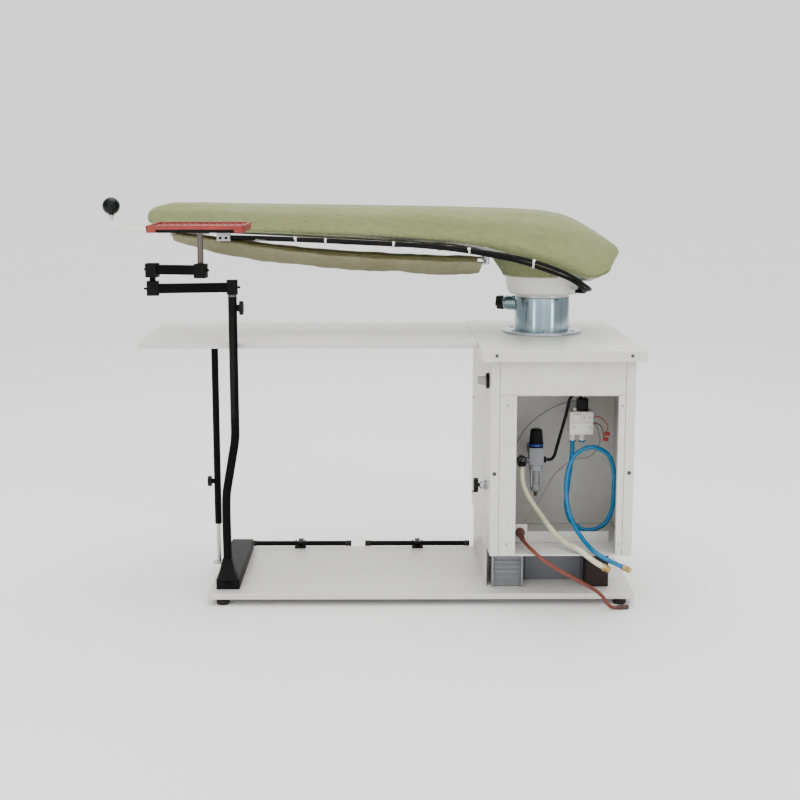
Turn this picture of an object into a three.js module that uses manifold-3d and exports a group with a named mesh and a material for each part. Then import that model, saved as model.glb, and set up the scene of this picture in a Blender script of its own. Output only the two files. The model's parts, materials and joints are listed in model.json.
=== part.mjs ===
// Sleeve ironing board on a steel stand: a padded swivelling board on a pedestal, a service cabinet
// with its air and water fittings, a garment shelf, and an iron rest on a jointed arm.
// Millimetres, +X along the board towards the cabinet, +Y from the front to the back, +Z up.
// The origin is on the floor, under the middle of the whole machine's box.
import * as THREE from "three";
import { mergeVertices } from "three/addons/utils/BufferGeometryUtils.js";
import Module from "manifold-3d";

const wasm = await Module();
wasm.setup();

// ---------------------------------------------------------------- driving dimensions
const GAP = 0.3; // clearance between pieces that touch
const SHEET = 3; // folded sheet steel
const ROUND = 24; // sides of a turned piece

const FRONT = -199; // front edge of the base plate
const BASE = { left: -342, right: 591, back: FRONT + 381, bottom: 15, top: 28 };
const FOOT = { radius: 15, inset: 30, insetY: 20 };

// The left panel stands 13 mm further right at its front edge than at its back edge.
const CABINET = { left: 257, lean: 13, right: 575, front: FRONT - 38, back: FRONT + 441, bottom: 124 };
const OPENING = { left: 324, right: 540, bottom: 127, top: 475 };
const COMPARTMENT_BACK = FRONT + 222;
const TOP = {
  leftBack: 239, left: 250, right: 594, rightBack: 578, front: FRONT - 60, back: FRONT + 477,
  bottom: 548.5, top: 572,
};
const PANEL_TOP = TOP.top - SHEET - GAP;

const SHELF = { left: -492, front: FRONT + 70, back: FRONT + 443, bottom: 559.6, top: 572 };
const SHELF_LEG = {
  x: -346, y: FRONT + 240, tubeRadius: 8, rodRadius: 4.5, rodLength: 260, tubeBottom: 124, clampZ: 225,
  padRadius: 24,
};

const LEG = {
  x: -281, y: FRONT + 45, radius: 9.5, bottomX: -303, bendLow: 246, bendHigh: 359, clampZ: 651, top: 675,
};
const LEG_BAR = { left: -328, right: -277, front: FRONT + 33, back: FRONT + 364, top: 51 };
const POST = { radius: 6.5, collar: 9.5, bottom: 545, top: 703 };
const ELBOW = { x: -446, y: FRONT + 20, pinTop: 744 };
const REST = { x: -341, y: FRONT, width: 200, depth: 158, bottom: 818, matTop: 833 };
const LOWER_ARM = { bottom: 685.5, top: 705, blockBottom: 680.8, blockTop: 711 };
const UPPER_ARM = { bottom: 726, top: 745.5, blockBottom: 719.5, blockTop: 749 };

const PEDESTAL = {
  x: 405, y: FRONT + 265, radius: 62.5, bore: 50, flange: 90, flangeThickness: 5, top: 654, clampZ: 636,
  clampTurn: -25, bossReach: 92, bossRadius: 17.5, bearing: 61, bearingHeight: 6.4,
};
const DUCT = { radius: 38, wall: 3, bottom: 350 };
const BLOWER = { z: 240, radius: 100, front: FRONT + 236, back: FRONT + 395 };
const BOARD_Y = PEDESTAL.y; // the board's centreline

// ---------------------------------------------------------------- solids
function solidOf(geometry) {
  const bare = geometry.index ? geometry.toNonIndexed() : geometry.clone();
  bare.deleteAttribute("normal");
  bare.deleteAttribute("uv");
  const merged = mergeVertices(bare, 1e-3);
  return new wasm.Manifold(
    new wasm.Mesh({
      numProp: 3,
      vertProperties: merged.attributes.position.array,
      triVerts: new Uint32Array(merged.index.array),
    }),
  );
}

function geometryOf(solid) {
  const mesh = solid.getMesh();
  const geometry = new THREE.BufferGeometry();
  geometry.setAttribute("position", new THREE.BufferAttribute(new Float32Array(mesh.vertProperties), 3));
  geometry.setIndex(new THREE.BufferAttribute(mesh.triVerts, 1));
  const flat = geometry.toNonIndexed();
  flat.computeVertexNormals();
  return flat;
}

// A box from its lowest to its highest corner.
function box(x0, y0, z0, x1, y1, z1) {
  const shape = new THREE.BoxGeometry(x1 - x0, y1 - y0, z1 - z0);
  return solidOf(shape.translate((x0 + x1) / 2, (y0 + y1) / 2, (z0 + z1) / 2));
}

// A round bar that starts at a point and runs along an axis, "x", "y" or "z".
function rod(x, y, z, radius, length, axis = "z", endRadius = radius, sides = ROUND) {
  const shape = new THREE.CylinderGeometry(endRadius, radius, length, sides).translate(0, length / 2, 0);
  if (axis === "x") shape.rotateZ(-Math.PI / 2);
  if (axis === "z") shape.rotateX(Math.PI / 2);
  return solidOf(shape.translate(x, y, z));
}

function join(first, ...rest) {
  return rest.reduce((all, next) => all.add(next), first);
}

function cut(first, ...rest) {
  return rest.reduce((left, next) => left.subtract(next), first);
}

// A hand knob with rounded lobes, turned about an axis through its back face.
function lobedKnob(radius, thickness, lobes, axis) {
  const outline = new THREE.Shape();
  const steps = lobes * 6;
  for (let i = 0; i < steps; i++) {
    const turn = (i / steps) * 2 * Math.PI;
    const r = radius * (0.88 + 0.12 * Math.cos(turn * lobes));
    outline[i ? "lineTo" : "moveTo"](r * Math.cos(turn), r * Math.sin(turn));
  }
  outline.closePath();
  const shape = new THREE.ExtrudeGeometry(outline, { depth: thickness, bevelEnabled: false });
  if (axis === "x") shape.rotateY(Math.PI / 2);
  return solidOf(shape);
}

// A round tube along a smooth route through hand-chosen points.
function tubeAlong(points, radius, steps, sides) {
  const stops = points.map((p) => new THREE.Vector3(...p));
  const route = new THREE.CatmullRomCurve3(stops, false, "centripetal");
  const ring = new THREE.Shape();
  for (let i = 0; i < sides; i++) {
    const turn = (i / sides) * 2 * Math.PI;
    ring[i ? "lineTo" : "moveTo"](radius * Math.cos(turn), radius * Math.sin(turn));
  }
  ring.closePath();
  return solidOf(new THREE.ExtrudeGeometry(ring, { steps, bevelEnabled: false, extrudePath: route }));
}

// A closed skin over a row of rings that all have the same, even number of points. Each end is closed by
// rungs from a ring's first half to its second, which suits round sections and thin bent ones.
function loft(rings) {
  const count = rings[0].length;
  const positions = rings.flat(2);
  const faces = [];
  rings.slice(1).forEach((_, row) => {
    for (let i = 0; i < count; i++) {
      const a = row * count + i;
      const b = row * count + ((i + 1) % count);
      faces.push(a, b, a + count, b, b + count, a + count);
    }
  });
  for (const [row, flip] of [[0, true], [rings.length - 1, false]]) {
    for (let i = 0; i < count / 2 - 1; i++) {
      const [a, b, c, d] = [i, i + 1, count - 2 - i, count - 1 - i].map((k) => row * count + k);
      faces.push(...(flip ? [c, b, a, d, c, a] : [a, b, c, a, c, d]));
    }
  }
  const geometry = new THREE.BufferGeometry();
  geometry.setAttribute("position", new THREE.Float32BufferAttribute(positions, 3));
  geometry.setIndex(faces);
  const solid = solidOf(geometry);
  return solid.volume() > 0 ? solid : solidOf(flipped(geometry));
}

function flipped(geometry) {
  const index = [...geometry.index.array];
  for (let i = 0; i < index.length; i += 3) [index[i], index[i + 1]] = [index[i + 1], index[i]];
  return geometry.clone().setIndex(index);
}

// ---------------------------------------------------------------- materials
const paint = (color, roughness = 0.5, metalness = 0) =>
  new THREE.MeshStandardMaterial({ color, roughness, metalness });
const WHITE = paint(0xdcdcd8, 0.45);
const BLACK = paint(0x151617, 0.4);
const RUBBER = paint(0x2a2220, 0.8);
const CHROME = paint(0xb9c4cc, 0.15, 1);
const STEEL = paint(0xa8a8a6, 0.35, 1);
const GREEN = paint(0xa3ab82, 0.85);
const RED = paint(0xd6473a, 0.6);
const BLUE = paint(0x1d8fc4, 0.3);
const CREAM = paint(0xd6d3b4, 0.5);
const BROWN = paint(0x8a4a36, 0.5);
const BRASS = paint(0xb08d4a, 0.3, 1);

const part = new THREE.Group();
const bodyGroup = (x = 0, y = 0, z = 0) => {
  const group = new THREE.Group();
  group.position.set(x, y, z);
  part.add(group);
  return group;
};

// Adds a named piece whose solid is drawn about the point that the mesh is placed at.
function piece(group, name, solid, material, place = [0, 0, 0]) {
  const mesh = new THREE.Mesh(geometryOf(solid), material);
  mesh.name = name;
  mesh.position.set(...place);
  group.add(mesh);
}

// ---------------------------------------------------------------- base
const stand = bodyGroup();

// A folded steel tray, open underneath, with its skirt turned down on all four sides.
function foldedTop(outline, bottom, top, hole) {
  const full = new THREE.Shape(outline.map((p) => new THREE.Vector2(...p)));
  const count = outline.length;
  const middle = outline.reduce((sum, p) => [sum[0] + p[0] / count, sum[1] + p[1] / count], [0, 0]);
  const inner = outline.map((p) => new THREE.Vector2(
    p[0] + SHEET * Math.sign(middle[0] - p[0]),
    p[1] + SHEET * Math.sign(middle[1] - p[1]),
  ));
  const depth = top - bottom;
  const slab = new THREE.ExtrudeGeometry(full, { depth, bevelEnabled: false });
  const well = new THREE.ExtrudeGeometry(new THREE.Shape(inner), { depth, bevelEnabled: false });
  const tray = cut(solidOf(slab.translate(0, 0, bottom)), solidOf(well.translate(0, 0, bottom - SHEET)));
  return hole ? cut(tray, rod(hole.x, hole.y, bottom, hole.radius, top)) : tray;
}

const rectangle = (x0, y0, x1, y1) => [[x0, y0], [x1, y0], [x1, y1], [x0, y1]];

piece(stand, "base_plate",
  foldedTop(rectangle(BASE.left, FRONT, BASE.right, BASE.back), BASE.bottom, BASE.top), WHITE);

const footSpots = [
  ["base_foot_front_left", BASE.left + FOOT.inset, FRONT + FOOT.insetY],
  ["base_foot_front_right", BASE.right - FOOT.inset, FRONT + FOOT.insetY],
  ["base_foot_rear_left", BASE.left + FOOT.inset, BASE.back - FOOT.insetY],
  ["base_foot_rear_right", BASE.right - FOOT.inset, BASE.back - FOOT.insetY],
];
for (const [name, x, y] of footSpots) {
  const top = BASE.top - SHEET - GAP;
  const pad = rod(0, 0, 0, FOOT.radius * 0.9, 5, "z", FOOT.radius);
  const body = rod(0, 0, 5, FOOT.radius, BASE.bottom - 7, "z", FOOT.radius * 0.8);
  const stem = rod(0, 0, BASE.bottom - 4, 5, top - BASE.bottom + 4, "z", 5, 12);
  piece(stand, name, join(pad, body, stem), RUBBER, [x, y, 0]);
}

// ---------------------------------------------------------------- support leg of the iron rest
function restStand() {
  const socket = new THREE.CylinderGeometry(15, 29, 46, 4, 1).rotateY(Math.PI / 4).rotateX(Math.PI / 2);
  const sunk = LEG_BAR.top - 1;
  const footBar = box(LEG_BAR.left, LEG_BAR.front - LEG.y, BASE.top + GAP,
    LEG_BAR.right, LEG_BAR.back - LEG.y, LEG_BAR.top);
  const route = [
    [LEG.bottomX, 0, sunk + 20], [LEG.bottomX, 0, LEG.bendLow - 12], [LEG.bottomX + 3, 0, LEG.bendLow + 12],
    [LEG.x - 3, 0, LEG.bendHigh - 12], [LEG.x, 0, LEG.bendHigh + 12], [LEG.x, 0, LEG.bendHigh + 60],
  ];
  const straight = LEG.bendHigh + 55;
  const upper = rod(LEG.x, 0, straight, LEG.radius, LEG.top - straight, "z", LEG.radius, 16);
  const boss = rod(LEG.x, 0, LEG.clampZ, 7, 14, "x", 7, 16);
  const solid = join(footBar, tubeAlong(route, LEG.radius, 24, 16), upper, boss,
    solidOf(socket.translate(LEG.bottomX, 0, sunk + 23)));
  const bore = rod(LEG.x, 0, POST.bottom - 5, POST.radius + 0.7, LEG.top, "z", POST.radius + 0.7, 16);
  const thread = rod(LEG.x, 0, LEG.clampZ, 4, 30, "x", 4, 12);
  return cut(solid, bore, thread);
}
piece(stand, "rest_stand", restStand(), BLACK, [0, LEG.y, 0]);

// ---------------------------------------------------------------- cabinet
function leftPanel() {
  const front = CABINET.front + SHEET + GAP;
  const tongue = FRONT + 60;
  const outline = new THREE.Shape([
    [front, CABINET.bottom], [tongue, CABINET.bottom], [tongue, BASE.top + GAP], [BASE.back, BASE.top + GAP],
    [BASE.back, CABINET.bottom], [CABINET.back, CABINET.bottom], [CABINET.back, PANEL_TOP], [front, PANEL_TOP],
  ].map(([y, z]) => new THREE.Vector2(y, z)));
  const sheet = new THREE.ExtrudeGeometry(outline, { depth: SHEET, bevelEnabled: false });
  return solidOf(sheet.rotateX(Math.PI / 2).rotateZ(Math.PI / 2));
}
// Leans a solid with the left panel: unmoved at the cabinet's back, furthest right at its front.
const slope = CABINET.lean / (CABINET.back - CABINET.front);
const leaning = (solid) =>
  solid.transform([1, 0, 0, 0, -slope, 1, 0, 0, 0, 0, 1, 0, slope * CABINET.back, 0, 0, 1]);
const panelAt = (y) => CABINET.left + slope * (CABINET.back - y);
const SIDE_KNOB = { y: FRONT + 60, z: 258 };
const SIDE_SWITCH = { y: FRONT + 20, z: 497 };
piece(stand, "cabinet_left_panel",
  cut(leaning(leftPanel().translate([CABINET.left, 0, 0])),
    rod(panelAt(SIDE_KNOB.y) - 5, SIDE_KNOB.y, SIDE_KNOB.z, 5, 15, "x", 5, 12),
    rod(panelAt(SIDE_SWITCH.y) - 5, SIDE_SWITCH.y, SIDE_SWITCH.z, 7, 15, "x", 7, 12)), WHITE);
const INNER = { left: CABINET.left + SHEET + GAP, right: CABINET.right - SHEET - GAP };
const leftOfPanel = leaning(
  box(CABINET.left - 50, CABINET.front - 50, 0, INNER.left, CABINET.back + 50, TOP.top));
piece(stand, "cabinet_rear_shell",
  cut(join(box(INNER.left, CABINET.back - SHEET, CABINET.bottom, CABINET.right, CABINET.back, PANEL_TOP),
    box(CABINET.right - SHEET, CABINET.front + SHEET + GAP, CABINET.bottom,
      CABINET.right, CABINET.back, PANEL_TOP)), leftOfPanel), WHITE);
piece(stand, "cabinet_front_frame",
  cut(box(CABINET.left + CABINET.lean, CABINET.front, CABINET.bottom,
    CABINET.right, CABINET.front + SHEET, PANEL_TOP),
    box(OPENING.left, CABINET.front - SHEET, OPENING.bottom,
      OPENING.right, CABINET.front + 2 * SHEET, OPENING.top)), WHITE);
piece(stand, "compartment_wall",
  cut(box(INNER.left, COMPARTMENT_BACK, CABINET.bottom + SHEET + GAP,
    INNER.right, COMPARTMENT_BACK + SHEET, PANEL_TOP), leftOfPanel), WHITE);

const PLINTH = { left: 290, right: 536, front: FRONT + 110, back: BASE.back - 12 };
const plinthTop = CABINET.bottom - GAP;
const cabinetFloor = box(INNER.left, CABINET.front + SHEET + GAP, CABINET.bottom, INNER.right,
  CABINET.back - SHEET - GAP, CABINET.bottom + SHEET);
const plinthBox = box(PLINTH.left, PLINTH.front, BASE.top + GAP,
  PLINTH.right, PLINTH.back, CABINET.bottom + 1);
const plinthHollow = box(PLINTH.left + SHEET, PLINTH.front + SHEET, 0,
  PLINTH.right - SHEET, PLINTH.back - SHEET, CABINET.bottom);
piece(stand, "cabinet_base", cut(join(cut(cabinetFloor, leftOfPanel), plinthBox), plinthHollow), WHITE);
const BLOCKS = { front: FRONT + 48, back: FRONT + 98 };
piece(stand, "cabinet_foot_left",
  box(281, BLOCKS.front, BASE.top + GAP, 350, BLOCKS.back, plinthTop), STEEL);
piece(stand, "cabinet_foot_right",
  box(489, BLOCKS.front, BASE.top + GAP, 540, BLOCKS.back, plinthTop), RUBBER);

const topOutline = [
  [TOP.left, TOP.front], [TOP.right, TOP.front], [TOP.rightBack, TOP.back], [TOP.leftBack, TOP.back],
];
const ductHole = { x: PEDESTAL.x, y: PEDESTAL.y, radius: DUCT.radius + 5 };
piece(stand, "tabletop", foldedTop(topOutline, TOP.bottom, TOP.top, ductHole), WHITE);

// The suction fan and the pipe that joins it to the hollow pedestal.
const blowerDepth = BLOWER.back - BLOWER.front;
const scroll = rod(PEDESTAL.x, BLOWER.front, BLOWER.z, BLOWER.radius, blowerDepth, "y");
const outlet = rod(PEDESTAL.x, PEDESTAL.y + 6, BLOWER.z, 34, DUCT.bottom - GAP - BLOWER.z);
const blowerStand = box(PEDESTAL.x - 60, BLOWER.front + 40, CABINET.bottom + SHEET + GAP,
  PEDESTAL.x + 60, BLOWER.back - 40, BLOWER.z);
piece(stand, "vacuum_blower", join(scroll, outlet, blowerStand), STEEL);
const ductHeight = TOP.top + 8 - DUCT.bottom;
piece(stand, "suction_duct",
  cut(rod(0, 0, 0, DUCT.radius, ductHeight), rod(0, 0, -5, DUCT.radius - DUCT.wall, ductHeight + 10)),
  STEEL, [PEDESTAL.x, PEDESTAL.y, DUCT.bottom]);

// ---------------------------------------------------------------- garment shelf
const topSlope = (TOP.left - TOP.leftBack) / (TOP.back - TOP.front);
const shelfRight = (y) => TOP.leftBack + topSlope * (TOP.back - y) - 2 * GAP;
const shelfOutline = [
  [SHELF.left, SHELF.front], [shelfRight(SHELF.front), SHELF.front],
  [shelfRight(SHELF.back), SHELF.back], [SHELF.left, SHELF.back],
];
piece(stand, "shelf", foldedTop(shelfOutline, SHELF.bottom, SHELF.top), WHITE);
const tubeTop = SHELF.top - SHEET - GAP;
const clampHeight = SHELF_LEG.clampZ;
piece(stand, "shelf_leg_tube",
  cut(join(rod(0, 0, SHELF_LEG.tubeBottom, SHELF_LEG.tubeRadius, tubeTop - SHELF_LEG.tubeBottom),
    rod(0, 0, tubeTop - 4, SHELF_LEG.padRadius, 4), rod(-13, 0, clampHeight, 6, 10, "x", 6, 16)),
    rod(0, 0, 100, SHELF_LEG.rodRadius + 0.5, 210, "z", SHELF_LEG.rodRadius + 0.5, 16),
    rod(-20, 0, clampHeight, 3.5, 20, "x", 3.5, 12)),
  BLACK, [SHELF_LEG.x, SHELF_LEG.y, 0]);
piece(stand, "shelf_leg_rod",
  join(rod(0, 0, BASE.top + GAP, SHELF_LEG.rodRadius, SHELF_LEG.rodLength, "z", SHELF_LEG.rodRadius, 16),
    rod(0, 0, BASE.top + GAP, 14, 4)),
  BLACK, [SHELF_LEG.x, SHELF_LEG.y, 0]);

// ---------------------------------------------------------------- pedestal
const columnBottom = TOP.top + PEDESTAL.flangeThickness + 2 * GAP;
piece(stand, "pedestal_flange",
  cut(rod(0, 0, 0, PEDESTAL.flange, PEDESTAL.flangeThickness, "z", PEDESTAL.flange, 40),
    rod(0, 0, -2, PEDESTAL.bore, PEDESTAL.flangeThickness + 4, "z", PEDESTAL.bore, 32)),
  CHROME, [PEDESTAL.x, PEDESTAL.y, TOP.top + GAP]);
function pedestalColumn() {
  const height = PEDESTAL.top - columnBottom;
  const clamp = PEDESTAL.clampZ - columnBottom;
  const tube = rod(0, 0, 0, PEDESTAL.radius, height, "z", PEDESTAL.radius, 40);
  const aim = [0, 0, PEDESTAL.clampTurn];
  const boss = rod(-PEDESTAL.bossReach, 0, clamp, PEDESTAL.bossRadius, 45, "x").rotate(aim);
  const bore = rod(0, 0, -2, PEDESTAL.bore, height + 4, "z", PEDESTAL.bore, 32);
  const thread = rod(-110, 0, clamp, 6.5, 70, "x", 6.5, 16).rotate(aim);
  return cut(join(tube, boss), bore, thread);
}
piece(stand, "pedestal_column", pedestalColumn(), CHROME, [PEDESTAL.x, PEDESTAL.y, columnBottom]);

piece(stand, "swivel_bearing",
  cut(rod(0, 0, 0, PEDESTAL.bearing, PEDESTAL.bearingHeight, "z", PEDESTAL.bearing, 40),
    rod(0, 0, -2, PEDESTAL.bore, PEDESTAL.bearingHeight + 4, "z", PEDESTAL.bore, 32)),
  STEEL, [PEDESTAL.x, PEDESTAL.y, PEDESTAL.top + GAP]);

// ---------------------------------------------------------------- fittings in the compartment
const REGULATOR = { x: 381, y: FRONT + 110, bodyBottom: 294, bodyTop: 333 };
const regulatorBracket = box(-9, 15, 300, 9, COMPARTMENT_BACK - REGULATOR.y - GAP, 318);
const gauge = join(rod(-33, -20, 304, 11, 18, "y", 11, 20), rod(-24, 0, 304, 5, 12, "x", 5, 12),
  box(-36, -6, 300, -14, 4, 308));
const regulatorPort = rod(14, 0, 304, 6.5, 9, "x", 6.5, 16);
piece(stand, "filter_regulator",
  join(box(-16, -16, REGULATOR.bodyBottom, 16, 16, REGULATOR.bodyTop), regulatorBracket, gauge,
    regulatorPort), STEEL, [REGULATOR.x, REGULATOR.y, 0]);
piece(stand, "filter_bowl",
  join(rod(0, 0, 232, 12, 46, "z", 14, 20), rod(0, 0, 278, 14, 15.7, "z", 15, 20),
    rod(0, 0, 221, 4, 12, "z", 4, 12)),
  CREAM, [REGULATOR.x, REGULATOR.y, 0]);

const VALVE = { x: 478, y: FRONT + 105, bottom: 365, top: 416.5 };
const valveFeet = [-17, 4].map((x) => rod(x, 0, 349, 6.5, 20, "z", 6.5, 16));
piece(stand, "valve_block",
  join(box(-26, -20, VALVE.bottom, 26, 20, VALVE.top),
    box(-10, 15, 380, 10, COMPARTMENT_BACK - VALVE.y - GAP, 400),
    rod(-14, -6, 410, 5, 14, "z", 4.5, 16), ...valveFeet),
  CREAM, [VALVE.x, VALVE.y, 0]);
piece(stand, "solenoid_coil",
  box(-6, -12, VALVE.top + GAP, 18, 14, 443.5), BLACK, [VALVE.x - 3, VALVE.y, 0]);

// ---------------------------------------------------------------- hoses and the lead
const from = (y) => FRONT + y;
const BLUE_ROUTE = [
  [461, from(105), 348.5], [461, from(105), 325], [457, from(103), 285], [452, from(100), 245],
  [449, from(97), 205], [461, from(93), 166], [497.5, from(89), 147], [533, from(84), 162],
  [549, from(79), 199], [551, from(74), 244], [549, from(70), 289], [534, from(66), 326],
  [498, from(62), 342], [463, from(60), 326], [447, from(62), 287], [444, from(60), 240],
  [449, from(44), 200], [463, from(14), 168], [481, from(-20), 145], [496, from(-46), 134],
  [514, from(-54), 124], [536, from(-55), 113], [552, from(-54), 105],
];
const CREAM_ROUTE = [
  [348, from(90), 292], [348, from(86), 275], [351, from(84), 252], [364, from(80), 224],
  [390, from(60), 188], [416, from(25), 158], [440, from(-8), 143], [461, from(-34), 138],
  [479, from(-52), 127], [497, from(-60), 115], [510, from(-63), 108],
];
const BLACK_ROUTE = [
  [404.5, from(110), 304], [414, from(110), 304], [421, from(108), 312], [427, from(106), 335],
  [436, from(104), 370], [444, from(102), 402], [449, from(100), 426], [453, from(98), 444],
  [464, from(100), 454], [474, from(104), 453], [476.5, from(106), 448], [476.5, from(106), 443.9],
];
const LEAD_ROUTE = [
  [343, from(41), 152], [343, from(28), 151.5], [345, from(8), 148], [352, from(-16), 142],
  [364, from(-38), 134.5], [380, from(-54), 123], [400, from(-60), 110], [424, from(-61), 95],
  [450, from(-58), 80], [476, from(-52), 64], [500, from(-45), 48], [516, from(-38), 32],
  [526, from(-34), 17], [535, from(-31), 7.5], [543, from(-29), 5.5], [549, from(-28), 5.5],
];
piece(stand, "blue_hose", tubeAlong(BLUE_ROUTE, 5, 80, 10), BLUE);
piece(stand, "cream_hose", tubeAlong(CREAM_ROUTE, 6, 36, 10), CREAM);
piece(stand, "black_hose", tubeAlong(BLACK_ROUTE, 3.5, 32, 8), BLACK);
piece(stand, "power_lead", tubeAlong(LEAD_ROUTE, 4, 44, 10), BROWN);

// A brass end fitting in line with the last stretch of a hose.
function endFitting(route, radius, length) {
  const end = new THREE.Vector3(...route.at(-1));
  const way = end.clone().sub(new THREE.Vector3(...route.at(-2))).normalize();
  const turn = new THREE.Quaternion().setFromUnitVectors(new THREE.Vector3(0, 1, 0), way);
  const start = end.clone().addScaledVector(way, GAP);
  const stages = [[0, 0.5, radius], [0.45, 0.7, radius * 0.75], [0.65, 1, radius * 0.9]];
  const solids = stages.map(([a, b, r]) => {
    const bar = new THREE.CylinderGeometry(r, r, (b - a) * length, 6);
    bar.translate(0, ((a + b) / 2) * length, 0);
    return solidOf(bar.applyQuaternion(turn).translate(start.x, start.y, start.z));
  });
  return join(...solids);
}
piece(stand, "blue_hose_fitting", endFitting(BLUE_ROUTE, 7.5, 22), BRASS);
piece(stand, "cream_hose_fitting", endFitting(CREAM_ROUTE, 8.5, 18), BRASS);
piece(stand, "lead_connector", endFitting(LEAD_ROUTE, 5.4, 26), RUBBER);
piece(stand, "cable_gland",
  join(rod(0, -12, 0, 10, 8, "y", 11, 6), rod(0, -5, 0, 8, 12, "y", 8, 16),
    box(-16, 0, -24.5, 16, SHEET, 18), box(-16, 0, -24.5, 16, 26, -24.5 + SHEET)),
  BLACK, [343, from(54), 152]);

// ---------------------------------------------------------------- foot pedals
const PEDAL = { y: BASE.back - 12, z: 38, reach: 34, drop: 9, radius: 6 };
const pedals = [["pedal_left", -286, -41], ["pedal_right", -6, 250]];
for (const [name, left, right] of pedals) {
  const middle = (left + right) / 2;
  const ears = [-11, 11].map((x) => box(x - 2, -9, BASE.top + GAP - PEDAL.z, x + 2, 9, 7));
  const sole = box(-13, -9, BASE.top + GAP - PEDAL.z, 13, 9, BASE.top + 3 - PEDAL.z);
  const holes = rod(-20, 0, 0, 3.4, 40, "x", 3.4, 16);
  piece(stand, name + "_bracket", cut(join(sole, ...ears), holes), BLACK, [middle, PEDAL.y, PEDAL.z]);
  const hub = rod(-7, 0, 0, 5, 14, "x", 5, 16);
  const pin = rod(-15, 0, 0, 2.8, 30, "x", 2.8, 16);
  const arm = box(-6, 0, -3, 6, PEDAL.reach, 3);
  const toe = box(-6, PEDAL.reach - 5, -PEDAL.drop, 6, PEDAL.reach + 3, 3);
  const bar = rod(left - middle, PEDAL.reach, -PEDAL.drop, PEDAL.radius,
    right - left, "x", PEDAL.radius, 16);
  piece(bodyGroup(middle, PEDAL.y, PEDAL.z), name, join(hub, pin, arm, toe, bar), BLACK);
}

// ---------------------------------------------------------------- knobs
// Each knob is drawn with its stem along +X from the origin, and its head behind it.
const stemmedKnob = (radius, thickness, lobes, stem, stemLength) =>
  join(lobedKnob(radius, thickness, lobes, "x").translate([-thickness, 0, 0]),
    rod(-1, 0, 0, stem, stemLength + 1, "x", stem, 12));

const clampAim = THREE.MathUtils.degToRad(PEDESTAL.clampTurn);
const clampReach = PEDESTAL.bossReach + GAP;
const clampKnob = bodyGroup(PEDESTAL.x - clampReach * Math.cos(clampAim),
  PEDESTAL.y - clampReach * Math.sin(clampAim), PEDESTAL.clampZ);
clampKnob.rotation.z = clampAim;
piece(clampKnob, "pedestal_clamp_knob", stemmedKnob(17, 17, 5, 5.5, 22), BLACK);
piece(bodyGroup(SHELF_LEG.x - 13 - GAP, SHELF_LEG.y, clampHeight), "shelf_leg_knob",
  stemmedKnob(12.5, 9, 6, 2.8, 6), BLACK);
piece(bodyGroup(panelAt(SIDE_KNOB.y) - 18, SIDE_KNOB.y, SIDE_KNOB.z), "side_knob",
  stemmedKnob(17, 10, 5, 4, 28), BLACK);
piece(bodyGroup(panelAt(SIDE_SWITCH.y) - 2 * GAP, SIDE_SWITCH.y, SIDE_SWITCH.z), "rotary_switch",
  join(rod(-6, 0, 0, 17, 6, "x", 17), rod(-24, 0, 0, 7, 19, "x", 10), rod(-1, 0, 0, 6, 9, "x", 6, 12)),
  BLACK);
const legKnob = new THREE.Group();
legKnob.position.set(LEG.x + 14 + GAP, LEG.y, LEG.clampZ);
legKnob.rotation.z = Math.PI;
part.add(legKnob);
piece(legKnob, "leg_clamp_knob", stemmedKnob(15, 9, 6, 3.2, 4), BLACK);
piece(bodyGroup(REGULATOR.x, REGULATOR.y, REGULATOR.bodyTop + GAP), "regulator_knob",
  join(lobedKnob(16, 10, 12, "z"), rod(0, 0, 9, 15, 32, "z", 12.5)), BLACK);

// ---------------------------------------------------------------- jointed arm and iron rest
const post = bodyGroup(LEG.x, LEG.y, 0);
piece(post, "arm_post",
  join(rod(0, 0, POST.bottom, POST.radius, POST.top - POST.bottom, "z", POST.radius, 16),
    rod(0, 0, LEG.top + GAP, POST.collar, 4.7)), STEEL);

// An arm with a block at each end, laid from its own origin along a heading.
function armBar(length, arm, nearHalf, farHalf, halfWidth) {
  return join(
    box(0, -halfWidth, arm.bottom, length, halfWidth, arm.top),
    box(-nearHalf, -nearHalf, arm.blockBottom, nearHalf, nearHalf, arm.blockTop),
    box(length - farHalf, -farHalf, arm.blockBottom, length + farHalf, farHalf, arm.blockTop),
    rod(-nearHalf - 6, 0, (arm.bottom + arm.top) / 2, 2.5, 8, "x", 2.5, 12),
    rod(length + farHalf - 2, 0, (arm.bottom + arm.top) / 2, 2.5, 8, "x", 2.5, 12),
  );
}
const bore = (x, bottom, top) =>
  rod(x, 0, bottom, POST.radius + 0.8, top - bottom, "z", POST.radius + 0.8, 16);

const lowerSpan = Math.hypot(ELBOW.x - LEG.x, ELBOW.y - LEG.y);
const lowerArm = new THREE.Group();
lowerArm.position.set(LEG.x, LEG.y, 0);
lowerArm.rotation.z = Math.atan2(ELBOW.y - LEG.y, ELBOW.x - LEG.x);
part.add(lowerArm);
piece(lowerArm, "lower_arm",
  join(cut(armBar(lowerSpan, LOWER_ARM, 11.5, 13, 9), bore(0, 600, POST.top + 1)),
    rod(lowerSpan, 0, 700, POST.radius, ELBOW.pinTop - 700, "z", POST.radius, 16)), BLACK);

const upperSpan = Math.hypot(REST.x - ELBOW.x, REST.y - ELBOW.y);
const upperArm = new THREE.Group();
upperArm.position.set(ELBOW.x, ELBOW.y, 0);
upperArm.rotation.z = Math.atan2(REST.y - ELBOW.y, REST.x - ELBOW.x);
part.add(upperArm);
piece(upperArm, "upper_arm",
  cut(armBar(upperSpan, UPPER_ARM, 12, 12, 9), bore(0, 600, ELBOW.pinTop + 1),
    bore(upperSpan, UPPER_ARM.bottom - 1, 900)), BLACK);

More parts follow.
